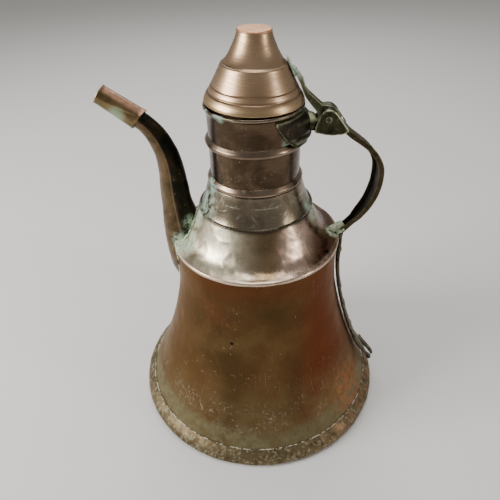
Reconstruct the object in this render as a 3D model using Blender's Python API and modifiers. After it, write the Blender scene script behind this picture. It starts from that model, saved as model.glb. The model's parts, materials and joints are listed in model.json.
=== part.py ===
"""Long-spouted copper coffee pot (dallah): bell body, turned neck, hinged conical lid.

Frame: origin on the pot's axis at the plane it stands on, +Z up, +X towards the
handle, -X towards the spout. Lengths are in metres.
"""
import math

import bmesh
import bpy
from mathutils import Matrix, Vector

MM = 0.001
GAP = 0.0003            # room left between pieces that touch
SHEET = 0.0012          # copper sheet
STEPS = 40              # facets round the axis of every turned piece

# Body and base
BASE_R = 0.1264
BASE_FLOOR = 0.0014
SEAM_Z = 0.0145         # top of the base pan, where it is seamed to the body
SEAM_R = 0.1169
WAIST_R = 0.0740
WAIST_Z = 0.1600
FLARE_POWER = 1.7
BODY_BOTTOM_Z = 0.0052
BODY_TOP_Z = 0.1846
LIP_R = 0.0754

# Neck
COLLAR_Z = 0.2198
NECK_R = 0.0370
NECK_BOTTOM_Z = 0.2400
NECK_TOP_Z = 0.3060
RIM_R = 0.0384
RIM_Z = 0.3081
RIM_WIRE_R = 0.0014

# Lid
BRIM_Z = 0.3097
BRIM_R = 0.0389
TOP_Z = 0.3600
PIN = Vector((0.0580, 0.0, 0.2978))
PIN_R = 0.0018
LID_REST_TILT = math.radians(1.4)    # the bent strap holds the lid this far open
KNUCKLE_R = 0.0082
KNUCKLE_WIDTH = 0.0086
SLOT_WIDTH = 0.0094
SADDLE_WIDTH = 0.0212
ARM_WIDTH = 0.0140

# Handle and its tail
GRIP_WIDTH = 0.0190
GRIP_DEPTH = 0.0050
GRIP_WALL = 0.0018
TAIL_WIDTH = 0.0100
TAIL_THICK = 0.0038
TAIL_STANDOFF = 0.0014
LIP_GAP = 0.0005

# Spout stations: centre x and z, half depth in the XZ plane, half width along Y (mm)
SPOUT = (
    (-66.0, 130.0, 7.5, 9.0), (-66.0, 142.0, 12.0, 15.0), (-66.5, 155.0, 15.5, 19.0),
    (-67.0, 170.0, 17.0, 20.5), (-67.5, 186.0, 17.2, 19.5), (-68.3, 198.0, 16.5, 17.3),
    (-69.3, 209.0, 15.0, 15.3), (-70.4, 220.0, 13.4, 13.6), (-71.0, 234.0, 12.5, 12.4),
    (-71.3, 246.5, 11.5, 11.3), (-72.1, 257.0, 10.6, 10.4), (-74.3, 267.3, 9.8, 9.7),
    (-78.0, 277.0, 9.1, 9.1), (-82.0, 284.0, 8.4, 8.4), (-86.3, 289.4, 7.8, 7.8),
    (-90.8, 293.6, 7.45, 7.45), (-119.3, 314.5, 6.3, 6.3),
)
SPOUT_SHEET = 0.0011
SLEEVE_START = (-0.0922, 0.2946)
SLEEVE_END = (-0.1207, 0.3155)


# ---------------------------------------------------------------- scene helpers

for old in list(bpy.data.objects):
    bpy.data.objects.remove(old, do_unlink=True)

parts = bpy.data.collections.new("dallah_coffee_pot")
cutters = bpy.data.collections.new("cutters")
for group in (parts, cutters):
    bpy.context.scene.collection.children.link(group)


def material(name, colour, roughness, metallic=1.0):
    made = bpy.data.materials.new(name)
    made.use_nodes = True
    shader = made.node_tree.nodes["Principled BSDF"]
    shader.inputs["Base Color"].default_value = (*colour, 1.0)
    shader.inputs["Roughness"].default_value = roughness
    shader.inputs["Metallic"].default_value = metallic
    return made


BODY_COPPER = material("body_copper", (0.20, 0.11, 0.06), 0.45)
SHOULDER_COPPER = material("shoulder_copper", (0.42, 0.33, 0.25), 0.38)
NECK_COPPER = material("neck_copper", (0.24, 0.14, 0.09), 0.40)
LID_COPPER = material("lid_copper", (0.50, 0.33, 0.22), 0.35)
BASE_COPPER = material("base_copper", (0.25, 0.20, 0.13), 0.60)
DARK_BRASS = material("dark_brass", (0.12, 0.11, 0.06), 0.50)
SLEEVE_BRASS = material("sleeve_brass", (0.42, 0.34, 0.18), 0.42)
BRAZE = material("braze", (0.55, 0.62, 0.42), 0.75, 0.2)
SOLDER = material("solder", (0.45, 0.45, 0.40), 0.55)


def add(name, mesh, group, finish=None):
    made = bpy.data.objects.new(name, mesh)
    group.objects.link(made)
    if finish is not None:
        mesh.materials.append(finish)
    return made


def smooth(mesh, angle=35.0):
    mesh.shade_smooth()
    mesh.set_sharp_from_angle(angle=math.radians(angle))


def mesh_from(bm, name):
    bmesh.ops.recalc_face_normals(bm, faces=bm.faces)
    mesh = bpy.data.meshes.new(name)
    bm.to_mesh(mesh)
    bm.free()
    return mesh


def hide_cutter(cutter):
    cutter.hide_render = True
    cutter.display_type = "WIRE"
    return cutter


def turned(name, outline, finish, group=parts, closed=True):
    """Screw a profile of (radius, z) points in mm once round the axis.

    The profile runs down its outer side. A closed one is a ring's section, and an
    open one starts and ends on the axis.
    """
    verts = [(r * MM, 0.0, z * MM) for r, z in outline]
    edges = [(i, i + 1) for i in range(len(verts) - 1)]
    if closed:
        edges.append((len(verts) - 1, 0))
    mesh = bpy.data.meshes.new(name)
    mesh.from_pydata(verts, edges, [])
    made = add(name, mesh, group, finish)
    screw = made.modifiers.new("turn", "SCREW")
    screw.steps = STEPS
    screw.render_steps = STEPS
    screw.use_merge_vertices = True
    screw.merge_threshold = 0.00001
    screw.use_smooth_shade = True
    return made


def shell_outline(outer, thickness):
    """Close a profile of a sheet: its outer side, then back up along its inner side."""
    inner = []
    for i, (r, z) in enumerate(outer):
        before = outer[max(i - 1, 0)]
        after = outer[min(i + 1, len(outer) - 1)]
        along = Vector((after[0] - before[0], after[1] - before[1])).normalized()
        inner.append((r + along.y * thickness / MM, z - along.x * thickness / MM))
    return list(outer) + inner[::-1]


def loft(name, rings, finish, group=parts, hollow=None):
    """Skin a list of rings of points; with hollow, a second list lines the inside."""
    bm = bmesh.new()

    def skin(ring_list):
        rows = [[bm.verts.new(p) for p in ring] for ring in ring_list]
        count = len(rows[0])
        for low, high in zip(rows, rows[1:]):
            for i in range(count):
                j = (i + 1) % count
                bm.faces.new((low[i], low[j], high[j], high[i]))
        return rows

    outside = skin(rings)
    if hollow is None:
        bm.faces.new(outside[0])
        bm.faces.new(outside[-1])
    else:
        inside = skin(hollow)
        count = len(inside[0])
        for out_ring, in_ring in ((outside[0], inside[0]), (outside[-1], inside[-1])):
            for i in range(count):
                j = (i + 1) % count
                bm.faces.new((out_ring[i], out_ring[j], in_ring[j], in_ring[i]))
    mesh = mesh_from(bm, name)
    smooth(mesh)
    return add(name, mesh, group, finish)


def plate(name, outline, width, finish, group=parts, bevel=0.0):
    """Extrude an outline of (x, z) points in mm to a plate of the given width along Y."""
    curve = bpy.data.curves.new(name, "CURVE")
    curve.dimensions = "2D"
    curve.fill_mode = "BOTH"
    curve.extrude = width / 2
    spline = curve.splines.new("POLY")
    spline.points.add(len(outline) - 1)
    for point, (x, z) in zip(spline.points, outline):
        point.co = (x * MM, z * MM, 0.0, 1.0)
    spline.use_cyclic_u = True
    flat = bpy.data.objects.new(name + "_curve", curve)
    parts.objects.link(flat)
    flat.matrix_world = Matrix.Rotation(math.pi / 2, 4, "X")
    bpy.context.view_layer.update()
    ready = flat.evaluated_get(bpy.context.evaluated_depsgraph_get())
    bm = bmesh.new()
    raw = bpy.data.meshes.new_from_object(ready)
    bm.from_mesh(raw)
    bmesh.ops.remove_doubles(bm, verts=bm.verts, dist=0.00001)
    bmesh.ops.transform(bm, matrix=flat.matrix_world, verts=bm.verts)
    mesh = mesh_from(bm, name)
    bpy.data.objects.remove(flat)
    smooth(mesh)
    made = add(name, mesh, group, finish)
    if bevel:
        round_edges(made, bevel)
    return made


def cylinder(name, centre, axis, radius, length, sides=24):
    """A cylinder about an axis through its centre, to cut with."""
    bm = bmesh.new()
    turn = Vector((0, 0, 1)).rotation_difference(Vector(axis)).to_matrix().to_4x4()
    bmesh.ops.create_cone(
        bm, cap_ends=True, segments=sides, radius1=radius, radius2=radius, depth=length,
        matrix=Matrix.Translation(centre) @ turn)
    return add(name, mesh_from(bm, name), cutters)


def block(name, low, high):
    """A box between two corners in mm, to cut with."""
    bm = bmesh.new()
    size = [(b - a) * MM for a, b in zip(low, high)]
    centre = [(a + b) / 2 * MM for a, b in zip(low, high)]
    bmesh.ops.create_cube(
        bm, size=1.0, matrix=Matrix.Translation(centre) @ Matrix.Diagonal((*size, 1.0)))
    return add(name, mesh_from(bm, name), cutters)


def round_edges(made, width):
    rounding = made.modifiers.new("rounding", "BEVEL")
    rounding.width = width
    rounding.segments = 1
    rounding.limit_method = "ANGLE"
    rounding.angle_limit = math.radians(40)


def boolean(made, other, operation="DIFFERENCE"):
    step = made.modifiers.new(operation.lower(), "BOOLEAN")
    step.operation = operation
    step.solver = "EXACT"
    step.object = other
    hide_cutter(other)


def arc(cx, cz, radius, start, end, count):
    """Points of a circular arc, in mm, between two angles in degrees."""
    points = []
    for i in range(count):
        angle = math.radians(start + (end - start) * i / (count - 1))
        points.append((cx + radius * math.cos(angle), cz + radius * math.sin(angle)))
    return points


def spline_through(points, per_span):
    """Catmull-Rom curve through points of any dimension."""
    knots = [Vector(p) for p in points]
    knots = [2 * knots[0] - knots[1]] + knots + [2 * knots[-1] - knots[-2]]
    out = []
    for i in range(1, len(knots) - 2):
        a, b, c, d = knots[i - 1:i + 3]
        for k in range(per_span):
            t = k / per_span
            out.append(0.5 * (2 * b + (c - a) * t + (2 * a - 5 * b + 4 * c - d) * t * t
                              + (3 * b - a - 3 * c + d) * t ** 3))
    out.append(knots[-2])
    return out


def tangents(path):
    """Unit directions along a path of (x, z) points."""
    out = []
    for i in range(len(path)):
        step = path[min(i + 1, len(path) - 1)] - path[max(i - 1, 0)]
        out.append(Vector((step[0], step[1])).normalized())
    return out


# ---------------------------------------------------------------- body and base

def body_radius(z):
    """Outer radius of the bell body at a height in metres."""
    rise = max(0.0, (WAIST_Z - z) / (WAIST_Z - SEAM_Z))
    return WAIST_R + (SEAM_R - WAIST_R) * rise ** FLARE_POWER


def make_base():
    slope = Vector((BASE_R - SEAM_R, 0.0040 - SEAM_Z)).normalized()
    inward = Vector((slope.y, -slope.x))
    top_out = Vector((SEAM_R + 0.0020, SEAM_Z))
    low_out = Vector((BASE_R, 0.0042))
    top_in = top_out + inward * BASE_FLOOR
    low_in = low_out + inward * BASE_FLOOR
    outline = [
        (0.0, BASE_FLOOR / MM), (120.5, BASE_FLOOR / MM), (123.8, 2.1),
        tuple(low_in / MM), tuple(top_in / MM), tuple(top_out / MM), tuple(low_out / MM),
        (126.2, 2.4), (124.6, 0.7), (121.5, 0.0), (0.0, 0.0),
    ]
    turned("base_pan", outline, BASE_COPPER, closed=False)
    solder = arc(SEAM_R / MM + 0.55, SEAM_Z / MM + 1.05, 0.7, 180, -180, 9)[:-1]
    turned("base_seam_solder", solder, SOLDER)


def spout_holes():
    """Seven strainer holes through the wall behind the spout's root."""
    centre_z = 0.164
    spread = 0.0085
    for i in range(7):
        angle = math.radians(60 * i)
        far = 0.0 if i == 6 else spread
        place = Vector((-WAIST_R, far * math.cos(angle), centre_z + far * math.sin(angle)))
        yield cylinder("strainer_hole", place, (1, 0, 0), 0.0026, 0.03, sides=10)


def make_body():
    heights = [BODY_TOP_Z, WAIST_Z, 0.140, 0.118, 0.098, 0.078, 0.058, 0.038, 0.024,
               0.013, BODY_BOTTOM_Z]
    outer = [(body_radius(z) / MM, z / MM) for z in heights]
    body = turned("body_shell", shell_outline(outer, SHEET), BODY_COPPER)
    for hole in spout_holes():
        boolean(body, hole)


def shoulder_outer():
    """Outer side of the shoulder, top to bottom, with its edge turned down as a lip."""
    return [
        (47.4, 220.8), (51.4, 212.7), (56.0, 204.0), (60.0, 197.3), (65.0, 191.3),
        (70.4, 188.4), (74.2, 187.3), (LIP_R / MM, 186.2), (LIP_R / MM, 184.0),
    ]


def make_shoulder():
    lining = [
        (74.35, 184.0), (74.35, 185.3), (73.6, 186.0), (70.0, 187.1), (64.3, 190.2),
        (59.0, 196.6), (54.9, 203.4), (50.3, 212.1), (46.2, 220.5),
    ]
    turned("shoulder_shell", shoulder_outer() + lining, SHOULDER_COPPER)


# ---------------------------------------------------------------- neck

def make_neck():
    collar = [
        (39.2, 244.4), (40.3, 239.6), (42.0, 233.6), (44.6, 227.6), (47.6, 223.0),
        (50.4, COLLAR_Z / MM),
    ]
    turned("neck_collar", shell_outline(collar, SHEET), NECK_COPPER)
    tube = [
        (RIM_R / MM - 0.2, NECK_TOP_Z / MM), (NECK_R / MM + 0.3, 305.0), (NECK_R / MM, 303.6),
        (NECK_R / MM, 262.0), (NECK_R / MM, NECK_BOTTOM_Z / MM),
    ]
    turned("neck_tube", shell_outline(tube, SHEET), NECK_COPPER)
    lower = [
        (37.35, 250.9), (38.0, 250.6), (39.5, 248.7), (40.4, 246.4), (40.2, 244.8),
        (37.35, 244.8),
    ]
    turned("neck_ring_lower", lower, NECK_COPPER)
    upper = [
        (37.35, 284.0), (38.0, 283.7), (39.3, 281.9), (40.1, 279.6), (39.9, 278.0),
        (37.35, 278.0),
    ]
    turned("neck_ring_upper", upper, NECK_COPPER)
    wire = arc(RIM_R / MM, RIM_Z / MM, RIM_WIRE_R / MM, 90, -270, 9)[:-1]
    turned("mouth_rim_wire", wire, NECK_COPPER)


# ---------------------------------------------------------------- spout

def oval_ring(x, z, direction, depth, width, sides=18):
    """Points of an oval section standing across a direction in the XZ plane."""
    across = Vector((direction.y, -direction.x))
    ring = []
    for i in range(sides):
        angle = 2 * math.pi * i / sides
        u = depth * math.cos(angle)
        ring.append(Vector((x + across.x * u, width * math.sin(angle), z + across.y * u)))
    return ring


def pot_envelope():
    """The body and shoulder's outer form, grown by the gap, for cutting the spout's root."""
    outer = [(0.0, 232.0), (46.0, 232.0)]
    outer += [(r + 0.35, z + 0.30) for r, z in shoulder_outer()]
    outer += [(LIP_R / MM + 0.35, 183.6)]
    outer += [(body_radius(z) / MM + 0.35, z / MM) for z in (0.183, WAIST_Z, 0.140, 0.118)]
    outer += [(0.0, 118.0)]
    return hide_cutter(turned("pot_envelope", outer, None, group=cutters, closed=False))


def make_spout(envelope):
    stations = [Vector(row) * MM for row in SPOUT]
    outside = []
    inside = []
    for station, direction in zip(stations, tangents(stations)):
        x, z, depth, width = station
        outside.append(oval_ring(x, z, direction, depth, width))
        inside.append(oval_ring(x, z, direction, depth - SPOUT_SHEET, width - SPOUT_SHEET))
    tube = loft("spout_tube", outside, DARK_BRASS, hollow=inside)
    boolean(tube, envelope)

    start = Vector(SLEEVE_START)
    end = Vector(SLEEVE_END)
    direction = (end - start).normalized()
    outside = []
    inside = []
    for t in (0.0, 0.5, 1.0):
        centre = start.lerp(end, t)
        bore = 0.0079 - 0.0011 * t
        outside.append(oval_ring(centre.x, centre.y, direction, bore + 0.0009, bore + 0.0009))
        inside.append(oval_ring(centre.x, centre.y, direction, bore, bore))
    loft("spout_sleeve", outside, SLEEVE_BRASS, hollow=inside)


# ---------------------------------------------------------------- handle

def bar_rings(path, widths, depths):
    """Rectangular sections with cut corners along a path of (x, z) points."""
    rings = []
    for point, direction, width, depth in zip(path, tangents(path), widths, depths):
        across = Vector((direction.y, -direction.x))
        half_w, half_d = width / 2, depth / 2
        cut = min(half_w, half_d) * 0.4
        corners = [
            (half_d, half_w - cut), (half_d - cut, half_w), (cut - half_d, half_w),
            (-half_d, half_w - cut), (-half_d, cut - half_w), (cut - half_d, -half_w),
            (half_d - cut, -half_w), (half_d, cut - half_w),
        ]
        rings.append([Vector((point[0] + across.x * u, v, point[1] + across.y * u))
                      for u, v in corners])
    return rings


def make_bracket():
    """A leaf-shaped plate bent round the neck and lapped over the upper ring."""
    columns = 24
    reach = 62.0
    rows = ((0.0, 40.7), (0.16, 40.7), (0.30, 37.9), (0.62, 37.6), (1.0, 37.6))
    top = 0.3040
    bm = bmesh.new()
    grid = []
    for i in range(columns + 1):
        degrees = -reach + 2 * reach * i / columns
        away = abs(degrees)
        if away > 46.0:
            low = 0.2893 + (away - 46.0) / (reach - 46.0) * 0.0120
        elif away > 34.0:
            low = 0.2812 + (away - 34.0) / 12.0 * 0.0081
        else:
            low = 0.2800 + away / 34.0 * 0.0012
        column = []
        for share, radius in rows:
            z = low + (top - low) * share
            if low > 0.2850:
                radius = 37.6
            angle = math.radians(degrees)
            column.append(bm.verts.new(
                (radius * MM * math.cos(angle), radius * MM * math.sin(angle), z)))
        grid.append(column)
    for left, right in zip(grid, grid[1:]):
        for i in range(len(rows) - 1):
            bm.faces.new((left[i], right[i], right[i + 1], left[i + 1]))
    mesh = bpy.data.meshes.new("handle_bracket")
    bm.to_mesh(mesh)
    bm.free()
    smooth(mesh)
    bracket = add("handle_bracket", mesh, parts, DARK_BRASS)
    skin = bracket.modifiers.new("plate", "SOLIDIFY")
    skin.thickness = 0.0018
    skin.offset = 1.0


def make_saddle():
    """The arm from the bracket and the fork that holds the lid's hinge pin."""
    px, pz = PIN.x / MM, PIN.z / MM
    fork = [(47.0, 286.4), (47.6, 292.4), (49.8, 298.4)]
    fork += arc(px, pz, 7.6, 158, 50, 7)
    fork += [(65.8, 300.2), (72.1, 290.9), (72.3, 290.5), (67.2, 284.4), (54.0, 285.4)]
    saddle = plate("handle_saddle", fork, SADDLE_WIDTH, DARK_BRASS)
    arm = plate(
        "saddle_arm",
        [(36.0, 300.2), (41.0, 300.2), (44.6, 298.6), (49.4, 297.4), (56.0, 294.0),
         (56.0, 287.0), (47.0, 286.0), (42.4, 284.4), (39.0, 281.4), (36.0, 280.4)],
        ARM_WIDTH, None, group=cutters)
    boolean(saddle, arm, "UNION")
    round_edges(saddle, 0.0007)
    neck_form = [(0.0, 310.0), (39.95, 310.0), (39.95, 289.0), (43.1, 285.9), (43.0, 275.0), (0.0, 275.0)]
    boolean(saddle, turned("neck_form", neck_form, None, group=cutters, closed=False))
    slot = SLOT_WIDTH / 2
    boolean(saddle, cylinder("slot_round", PIN, (0, 1, 0), KNUCKLE_R + 0.0009, SLOT_WIDTH))
    boolean(saddle, block("slot_clear", (52.0, -slot / MM, 294.4), (82.0, slot / MM, 320.0)))
    boolean(saddle, cylinder("pin_hole", PIN, (0, 1, 0), PIN_R + GAP, 0.04, sides=16))

    rings = []
    for y, radius in ((-11.9, 1.9), (-11.6, 2.7), (-10.95, 2.7), (-10.95, 1.8),
                      (10.95, 1.8), (10.95, 2.7), (11.6, 2.7), (11.9, 1.9)):
        rings.append([PIN + Vector((radius * MM * math.cos(a), y * MM, radius * MM * math.sin(a)))
                      for a in (2 * math.pi * i / 16 for i in range(16))])
    loft("hinge_pin", rings, DARK_BRASS)


GRIP_PATH = (
    (72.7, 290.2), (79.2, 284.7), (87.2, 279.3), (94.8, 273.2), (101.0, 265.8), (105.0, 257.5),
    (106.3, 248.0), (105.6, 237.0), (103.2, 226.5), (98.6, 215.5), (91.8, 204.5), (85.0, 195.8),
    (79.6, 189.2),
)


def make_grip():
    path = spline_through([Vector(p) * MM for p in GRIP_PATH], 2)
    rings = []
    last = len(path) - 1
    for i, (point, direction) in enumerate(zip(path, tangents(path))):
        inward = Vector((direction.y, -direction.x))
        belly = math.sin(math.pi * min(1.0, i / last * 1.15)) ** 0.5 if i else 0.0
        half = (0.0055 + (GRIP_WIDTH / 2 - 0.0055) * belly)
        floor = half - GRIP_WALL
        section = [
            (0.0, -half), (GRIP_DEPTH, -half), (GRIP_DEPTH, -floor), (GRIP_WALL, -floor),
            (GRIP_WALL, floor), (GRIP_DEPTH, floor), (GRIP_DEPTH, half), (0.0, half),
        ]
        rings.append([Vector((point.x + inward.x * u, v, point.y + inward.y * u))
                      for u, v in section])
    loft("handle_grip", rings, DARK_BRASS)
    foot = [(76.3, 188.1), (77.0, 190.0), (80.4, 194.3), (76.4, 197.2), (71.6, 194.4),
            (66.9, 191.2), (70.6, 189.1), (74.2, 188.1)]
    plate("handle_foot_braze", foot, 0.0068, BRAZE, bevel=0.0005)


def make_tail():
    """The strap that runs down the body from the grip's foot, and its curled end."""
    offset = TAIL_STANDOFF + TAIL_THICK / 2
    heights = [0.1876, 0.184, 0.178, 0.172, 0.170, 0.168, 0.152, 0.138, 0.127, 0.124, 0.121,
               0.110, 0.100, 0.097, 0.094, 0.084, 0.076, 0.0695, 0.0665, 0.0635, 0.056, 0.048]
    knuckles = {0.170: 1.0, 0.124: 1.0, 0.097: 1.0, 0.0665: 1.0}
    path = [Vector((body_radius(z) + offset, z)) for z in heights]
    lip_side = LIP_R + LIP_GAP + TAIL_THICK / 2
    path[0].x = lip_side + 0.0002
    path[1].x = lip_side
    widths = []
    depths = []
    for z in heights:
        swell = knuckles.get(z, 0.0)
        widths.append(TAIL_WIDTH * (1.0 + 0.22 * swell))
        depths.append(TAIL_THICK * (1.0 + 0.35 * swell))
    for x, z, width, depth in ((108.2, 40.8, 9.4, 3.0), (112.4, 33.8, 8.0, 2.6),
                               (117.0, 26.6, 6.0, 2.2), (120.8, 21.2, 4.0, 2.0),
                               (122.6, 18.6, 4.2, 4.2), (124.0, 16.2, 4.8, 4.8),
                               (125.2, 14.0, 2.4, 2.4)):
        path.append(Vector((x * MM, z * MM)))
        widths.append(width * MM)
        depths.append(depth * MM)
    loft("tail_strap", bar_rings(path, widths, depths), DARK_BRASS)

    curl = [(110.2, 48.0), (112.2, 44.6), (114.6, 40.8), (117.4, 36.6), (120.6, 32.4),
            (123.4, 28.2), (125.6, 24.4), (126.4, 21.2)]
    path = spline_through([Vector(p) * MM for p in curl], 2)
    share = [i / (len(path) - 1) for i in range(len(path))]
    widths = [0.0072 - 0.0032 * s for s in share]
    depths = [0.0012 + 0.0026 * math.sin(math.pi * min(1.0, 0.15 + s)) for s in share]
    loft("tail_curl", bar_rings(path, widths, depths), DARK_BRASS)


# ---------------------------------------------------------------- lid

LID_FLANK = ((33.6, 320.2), (25.7, 335.4))      # outer side between brim and step (r, z)


def lid_outer():
    return [
        (12.3, 358.3), (16.3, 349.0), (20.1, 342.2), (23.5, 337.2), LID_FLANK[1],
        (29.4, 328.2), LID_FLANK[0], (36.8, 315.2), (BRIM_R / MM - 0.2, 311.4),
        (BRIM_R / MM, BRIM_Z / MM),
    ]


def flank_point(z, out):
    """A point a given distance outside the lid's flank at a height, in mm."""
    (r1, z1), (r2, z2) = LID_FLANK
    along = Vector((r2 - r1, z2 - z1))
    share = (z - z1) / (z2 - z1)
    normal = Vector((along.y, -along.x)).normalized()
    return (r1 + along.x * share + normal.x * out, z + normal.y * out)


def make_lid(hinge):
    """Lid pieces, drawn closed and then turned with the hinge to the lid's rest."""
    made = [turned("lid_cone", shell_outline(lid_outer(), SHEET), LID_COPPER)]
    disc = [(0.0, 360.0), (11.0, 360.0), (12.4, 359.6), (12.6, 358.9), (12.3, 358.62), (0.0, 358.62)]
    made.append(turned("lid_top_disc", disc, LID_COPPER, closed=False))
    plug = [(33.4, 314.6), (33.4, 301.2), (32.9, 300.2), (32.0, 300.2), (32.2, 301.2), (32.2, 314.6)]
    made.append(turned("lid_plug_ring", plug, LID_COPPER))

    leaf_in = 0.35
    leaf_out = 1.45
    leaf = [flank_point(327.0, leaf_in), flank_point(327.8, leaf_out), flank_point(339.4, leaf_out),
            flank_point(340.6, leaf_out - 0.5), flank_point(340.2, leaf_in)]
    made.append(plate("lid_strap_leaf", leaf, 0.0110, DARK_BRASS))

    px, pz = PIN.x / MM, PIN.z / MM
    under = leaf_out + 0.3
    strap = [flank_point(333.4, under), flank_point(327.4, under), flank_point(321.6, under + 0.3),
             (37.6, 315.0), (39.7, 311.4), (43.6, 306.6), (48.6, 301.0)]
    strap += arc(px, pz, KNUCKLE_R / MM, 160, 450, 15)
    strap += [(52.4, 306.4), (46.4, 311.8), (41.4, 316.2), (38.9, 319.2), flank_point(323.0, under + 3.6),
              flank_point(328.0, under + 2.5), flank_point(333.0, under + 1.4)]
    bar = plate("lid_strap", strap, KNUCKLE_WIDTH, DARK_BRASS, bevel=0.0004)
    boolean(bar, cylinder("knuckle_hole", PIN, (0, 1, 0), PIN_R + GAP, 0.03, sides=16))
    made.append(bar)

    (r1, z1), (r2, z2) = LID_FLANK
    outward = Vector((z2 - z1, 0.0, r1 - r2)).normalized()
    for name, z, reach in (("lid_rivet_upper", 331.2, 6.2), ("lid_rivet_lower", 327.7, 6.9)):
        foot = flank_point(z, -1.9)
        hole_at = Vector((foot[0] * MM, 0.0, foot[1] * MM))
        hole = cylinder(name + "_hole", hole_at + outward * 0.005, outward, 0.0012, 0.016, sides=12)
        for piece in (made[0], made[3], bar):
            boolean(piece, hole)
        rings = []
        for far, radius in ((-0.5, 1.3), (0.1, 1.6), (0.28, 1.6), (0.28, 0.9),
                            (reach, 0.9), (reach, 1.6), (reach + 0.3, 1.6), (reach + 0.7, 1.0)):
            side = Vector((-outward.z, 0.0, outward.x))
            centre = hole_at + outward * far * MM
            rings.append([centre + side * (radius * MM * math.cos(a))
                          + Vector((0, radius * MM * math.sin(a), 0))
                          for a in (2 * math.pi * i / 12 for i in range(12))])
        made.append(loft(name, rings, DARK_BRASS))
        made.append(hole)

    for piece in made:
        for step in piece.modifiers:
            if step.type == "BOOLEAN" and step.object.parent is None:
                step.object.parent = hinge
                step.object.matrix_parent_inverse = Matrix.Translation(-PIN)
        if piece.parent is None:
            piece.parent = hinge
            piece.matrix_parent_inverse = Matrix.Translation(-PIN)
    hinge.rotation_euler = (0.0, LID_REST_TILT, 0.0)


def main():
    hinge = bpy.data.objects.new("lid_hinge", None)
    hinge.location = PIN
    parts.objects.link(hinge)
    make_base()
    make_body()
    make_shoulder()
    make_neck()
    make_spout(pot_envelope())
    make_bracket()
    make_saddle()
    make_grip()
    make_tail()
    make_lid(hinge)
    bpy.context.view_layer.update()


main()
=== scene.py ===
"""Studio view of an old copper coffee pot, dressed over its CAD frame."""
import json
import math

import bmesh
import bpy
from mathutils import Matrix, Vector, noise


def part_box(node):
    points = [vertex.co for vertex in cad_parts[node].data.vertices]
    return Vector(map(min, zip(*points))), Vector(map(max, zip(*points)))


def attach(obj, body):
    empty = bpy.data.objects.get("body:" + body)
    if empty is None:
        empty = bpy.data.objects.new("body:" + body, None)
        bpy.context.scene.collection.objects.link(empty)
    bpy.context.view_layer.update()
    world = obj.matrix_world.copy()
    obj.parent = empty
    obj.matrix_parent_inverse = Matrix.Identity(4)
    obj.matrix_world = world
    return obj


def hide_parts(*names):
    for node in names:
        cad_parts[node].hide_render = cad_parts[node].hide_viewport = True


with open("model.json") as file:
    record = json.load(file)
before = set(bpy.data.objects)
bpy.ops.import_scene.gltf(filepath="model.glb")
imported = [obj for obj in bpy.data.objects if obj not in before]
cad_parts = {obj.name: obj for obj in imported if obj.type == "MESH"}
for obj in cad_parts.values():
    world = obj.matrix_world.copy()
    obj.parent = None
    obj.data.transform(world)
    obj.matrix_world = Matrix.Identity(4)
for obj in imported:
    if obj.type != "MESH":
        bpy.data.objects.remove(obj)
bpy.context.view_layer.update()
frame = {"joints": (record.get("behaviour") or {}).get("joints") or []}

MM = 0.001
POT = "pot"
LID = "lid"
TURN_STEPS = 256

SHEET = 0.0012
WAIST_R, WAIST_Z = 0.0740, 0.1600
SEAM_R, SEAM_Z = 0.1169, 0.0145
PIN = Vector(next(j for j in frame["joints"] if j["name"] == "lid_hinge")["pos_m"])
PIN_X, PIN_Z = PIN.x / MM, PIN.z / MM
LID_REST_DEGREES = 1.4
PIN_HOLE_R = 0.0021
LID_TILT = (Matrix.Translation(PIN) @ Matrix.Rotation(math.radians(LID_REST_DEGREES), 4, "Y")
            @ Matrix.Translation(-PIN))
# Half widths along the hinge, in mm
FORK_HALF, SLOT_HALF, STRAP_HALF, LEAF_HALF = 10.2, 4.75, 4.15, 5.6


# ------------------------------------------------------------------ mesh tools

def smoothstep(low, high, value):
    t = min(1.0, max(0.0, (value - low) / (high - low)))
    return t * t * (3 - 2 * t)


def catmull(points, per_span):
    knots = [Vector(p) for p in points]
    knots = [2 * knots[0] - knots[1]] + knots + [2 * knots[-1] - knots[-2]]
    out = []
    for i in range(1, len(knots) - 2):
        a, b, c, d = knots[i - 1:i + 3]
        for k in range(per_span):
            t = k / per_span
            out.append(0.5 * (2 * b + (c - a) * t + (2 * a - 5 * b + 4 * c - d) * t * t
                              + (3 * b - a - 3 * c + d) * t ** 3))
    out.append(knots[-2])
    return out


def resample(points, step):
    """Points along a polyline no further apart than step, every corner kept."""
    out = [Vector(points[0])]
    for a, b in zip(points, points[1:]):
        a, b = Vector(a), Vector(b)
        count = max(1, math.ceil((b - a).length / step))
        out += [a.lerp(b, k / count) for k in range(1, count + 1)]
    return out


def rounded(points, radius, count=4, cyclic=False):
    """A polyline with its corners turned into short curves."""
    pts = [Vector(p) for p in points]
    out = []
    last = len(pts) - 1
    for i, p in enumerate(pts):
        if not cyclic and i in (0, last):
            out.append(p)
            continue
        before, after = pts[i - 1], pts[(i + 1) % len(pts)]
        cut = min(radius, (before - p).length * 0.45, (after - p).length * 0.45)
        a = p + (before - p).normalized() * cut
        b = p + (after - p).normalized() * cut
        for k in range(count + 1):
            t = k / count
            out.append((1 - t) ** 2 * a + 2 * t * (1 - t) * p + t * t * b)
    return out


def shell(outer, thickness):
    """Outer points, then the same offset inward and reversed: a sheet's section."""
    inner = []
    for i, p in enumerate(outer):
        along = (outer[min(i + 1, len(outer) - 1)] - outer[max(i - 1, 0)]).normalized()
        inner.append(p + Vector((along.y, -along.x)) * thickness)
    return list(outer) + inner[::-1]


def link(name, mesh):
    made = bpy.data.objects.new(name, mesh)
    bpy.context.scene.collection.objects.link(made)
    return made


def form_mesh(name, form):
    """A mesh of bmesh geometry, its faces turned outward."""
    bmesh.ops.recalc_face_normals(form, faces=form.faces)
    mesh = bpy.data.meshes.new(name)
    form.to_mesh(mesh)
    form.free()
    return mesh


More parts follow.
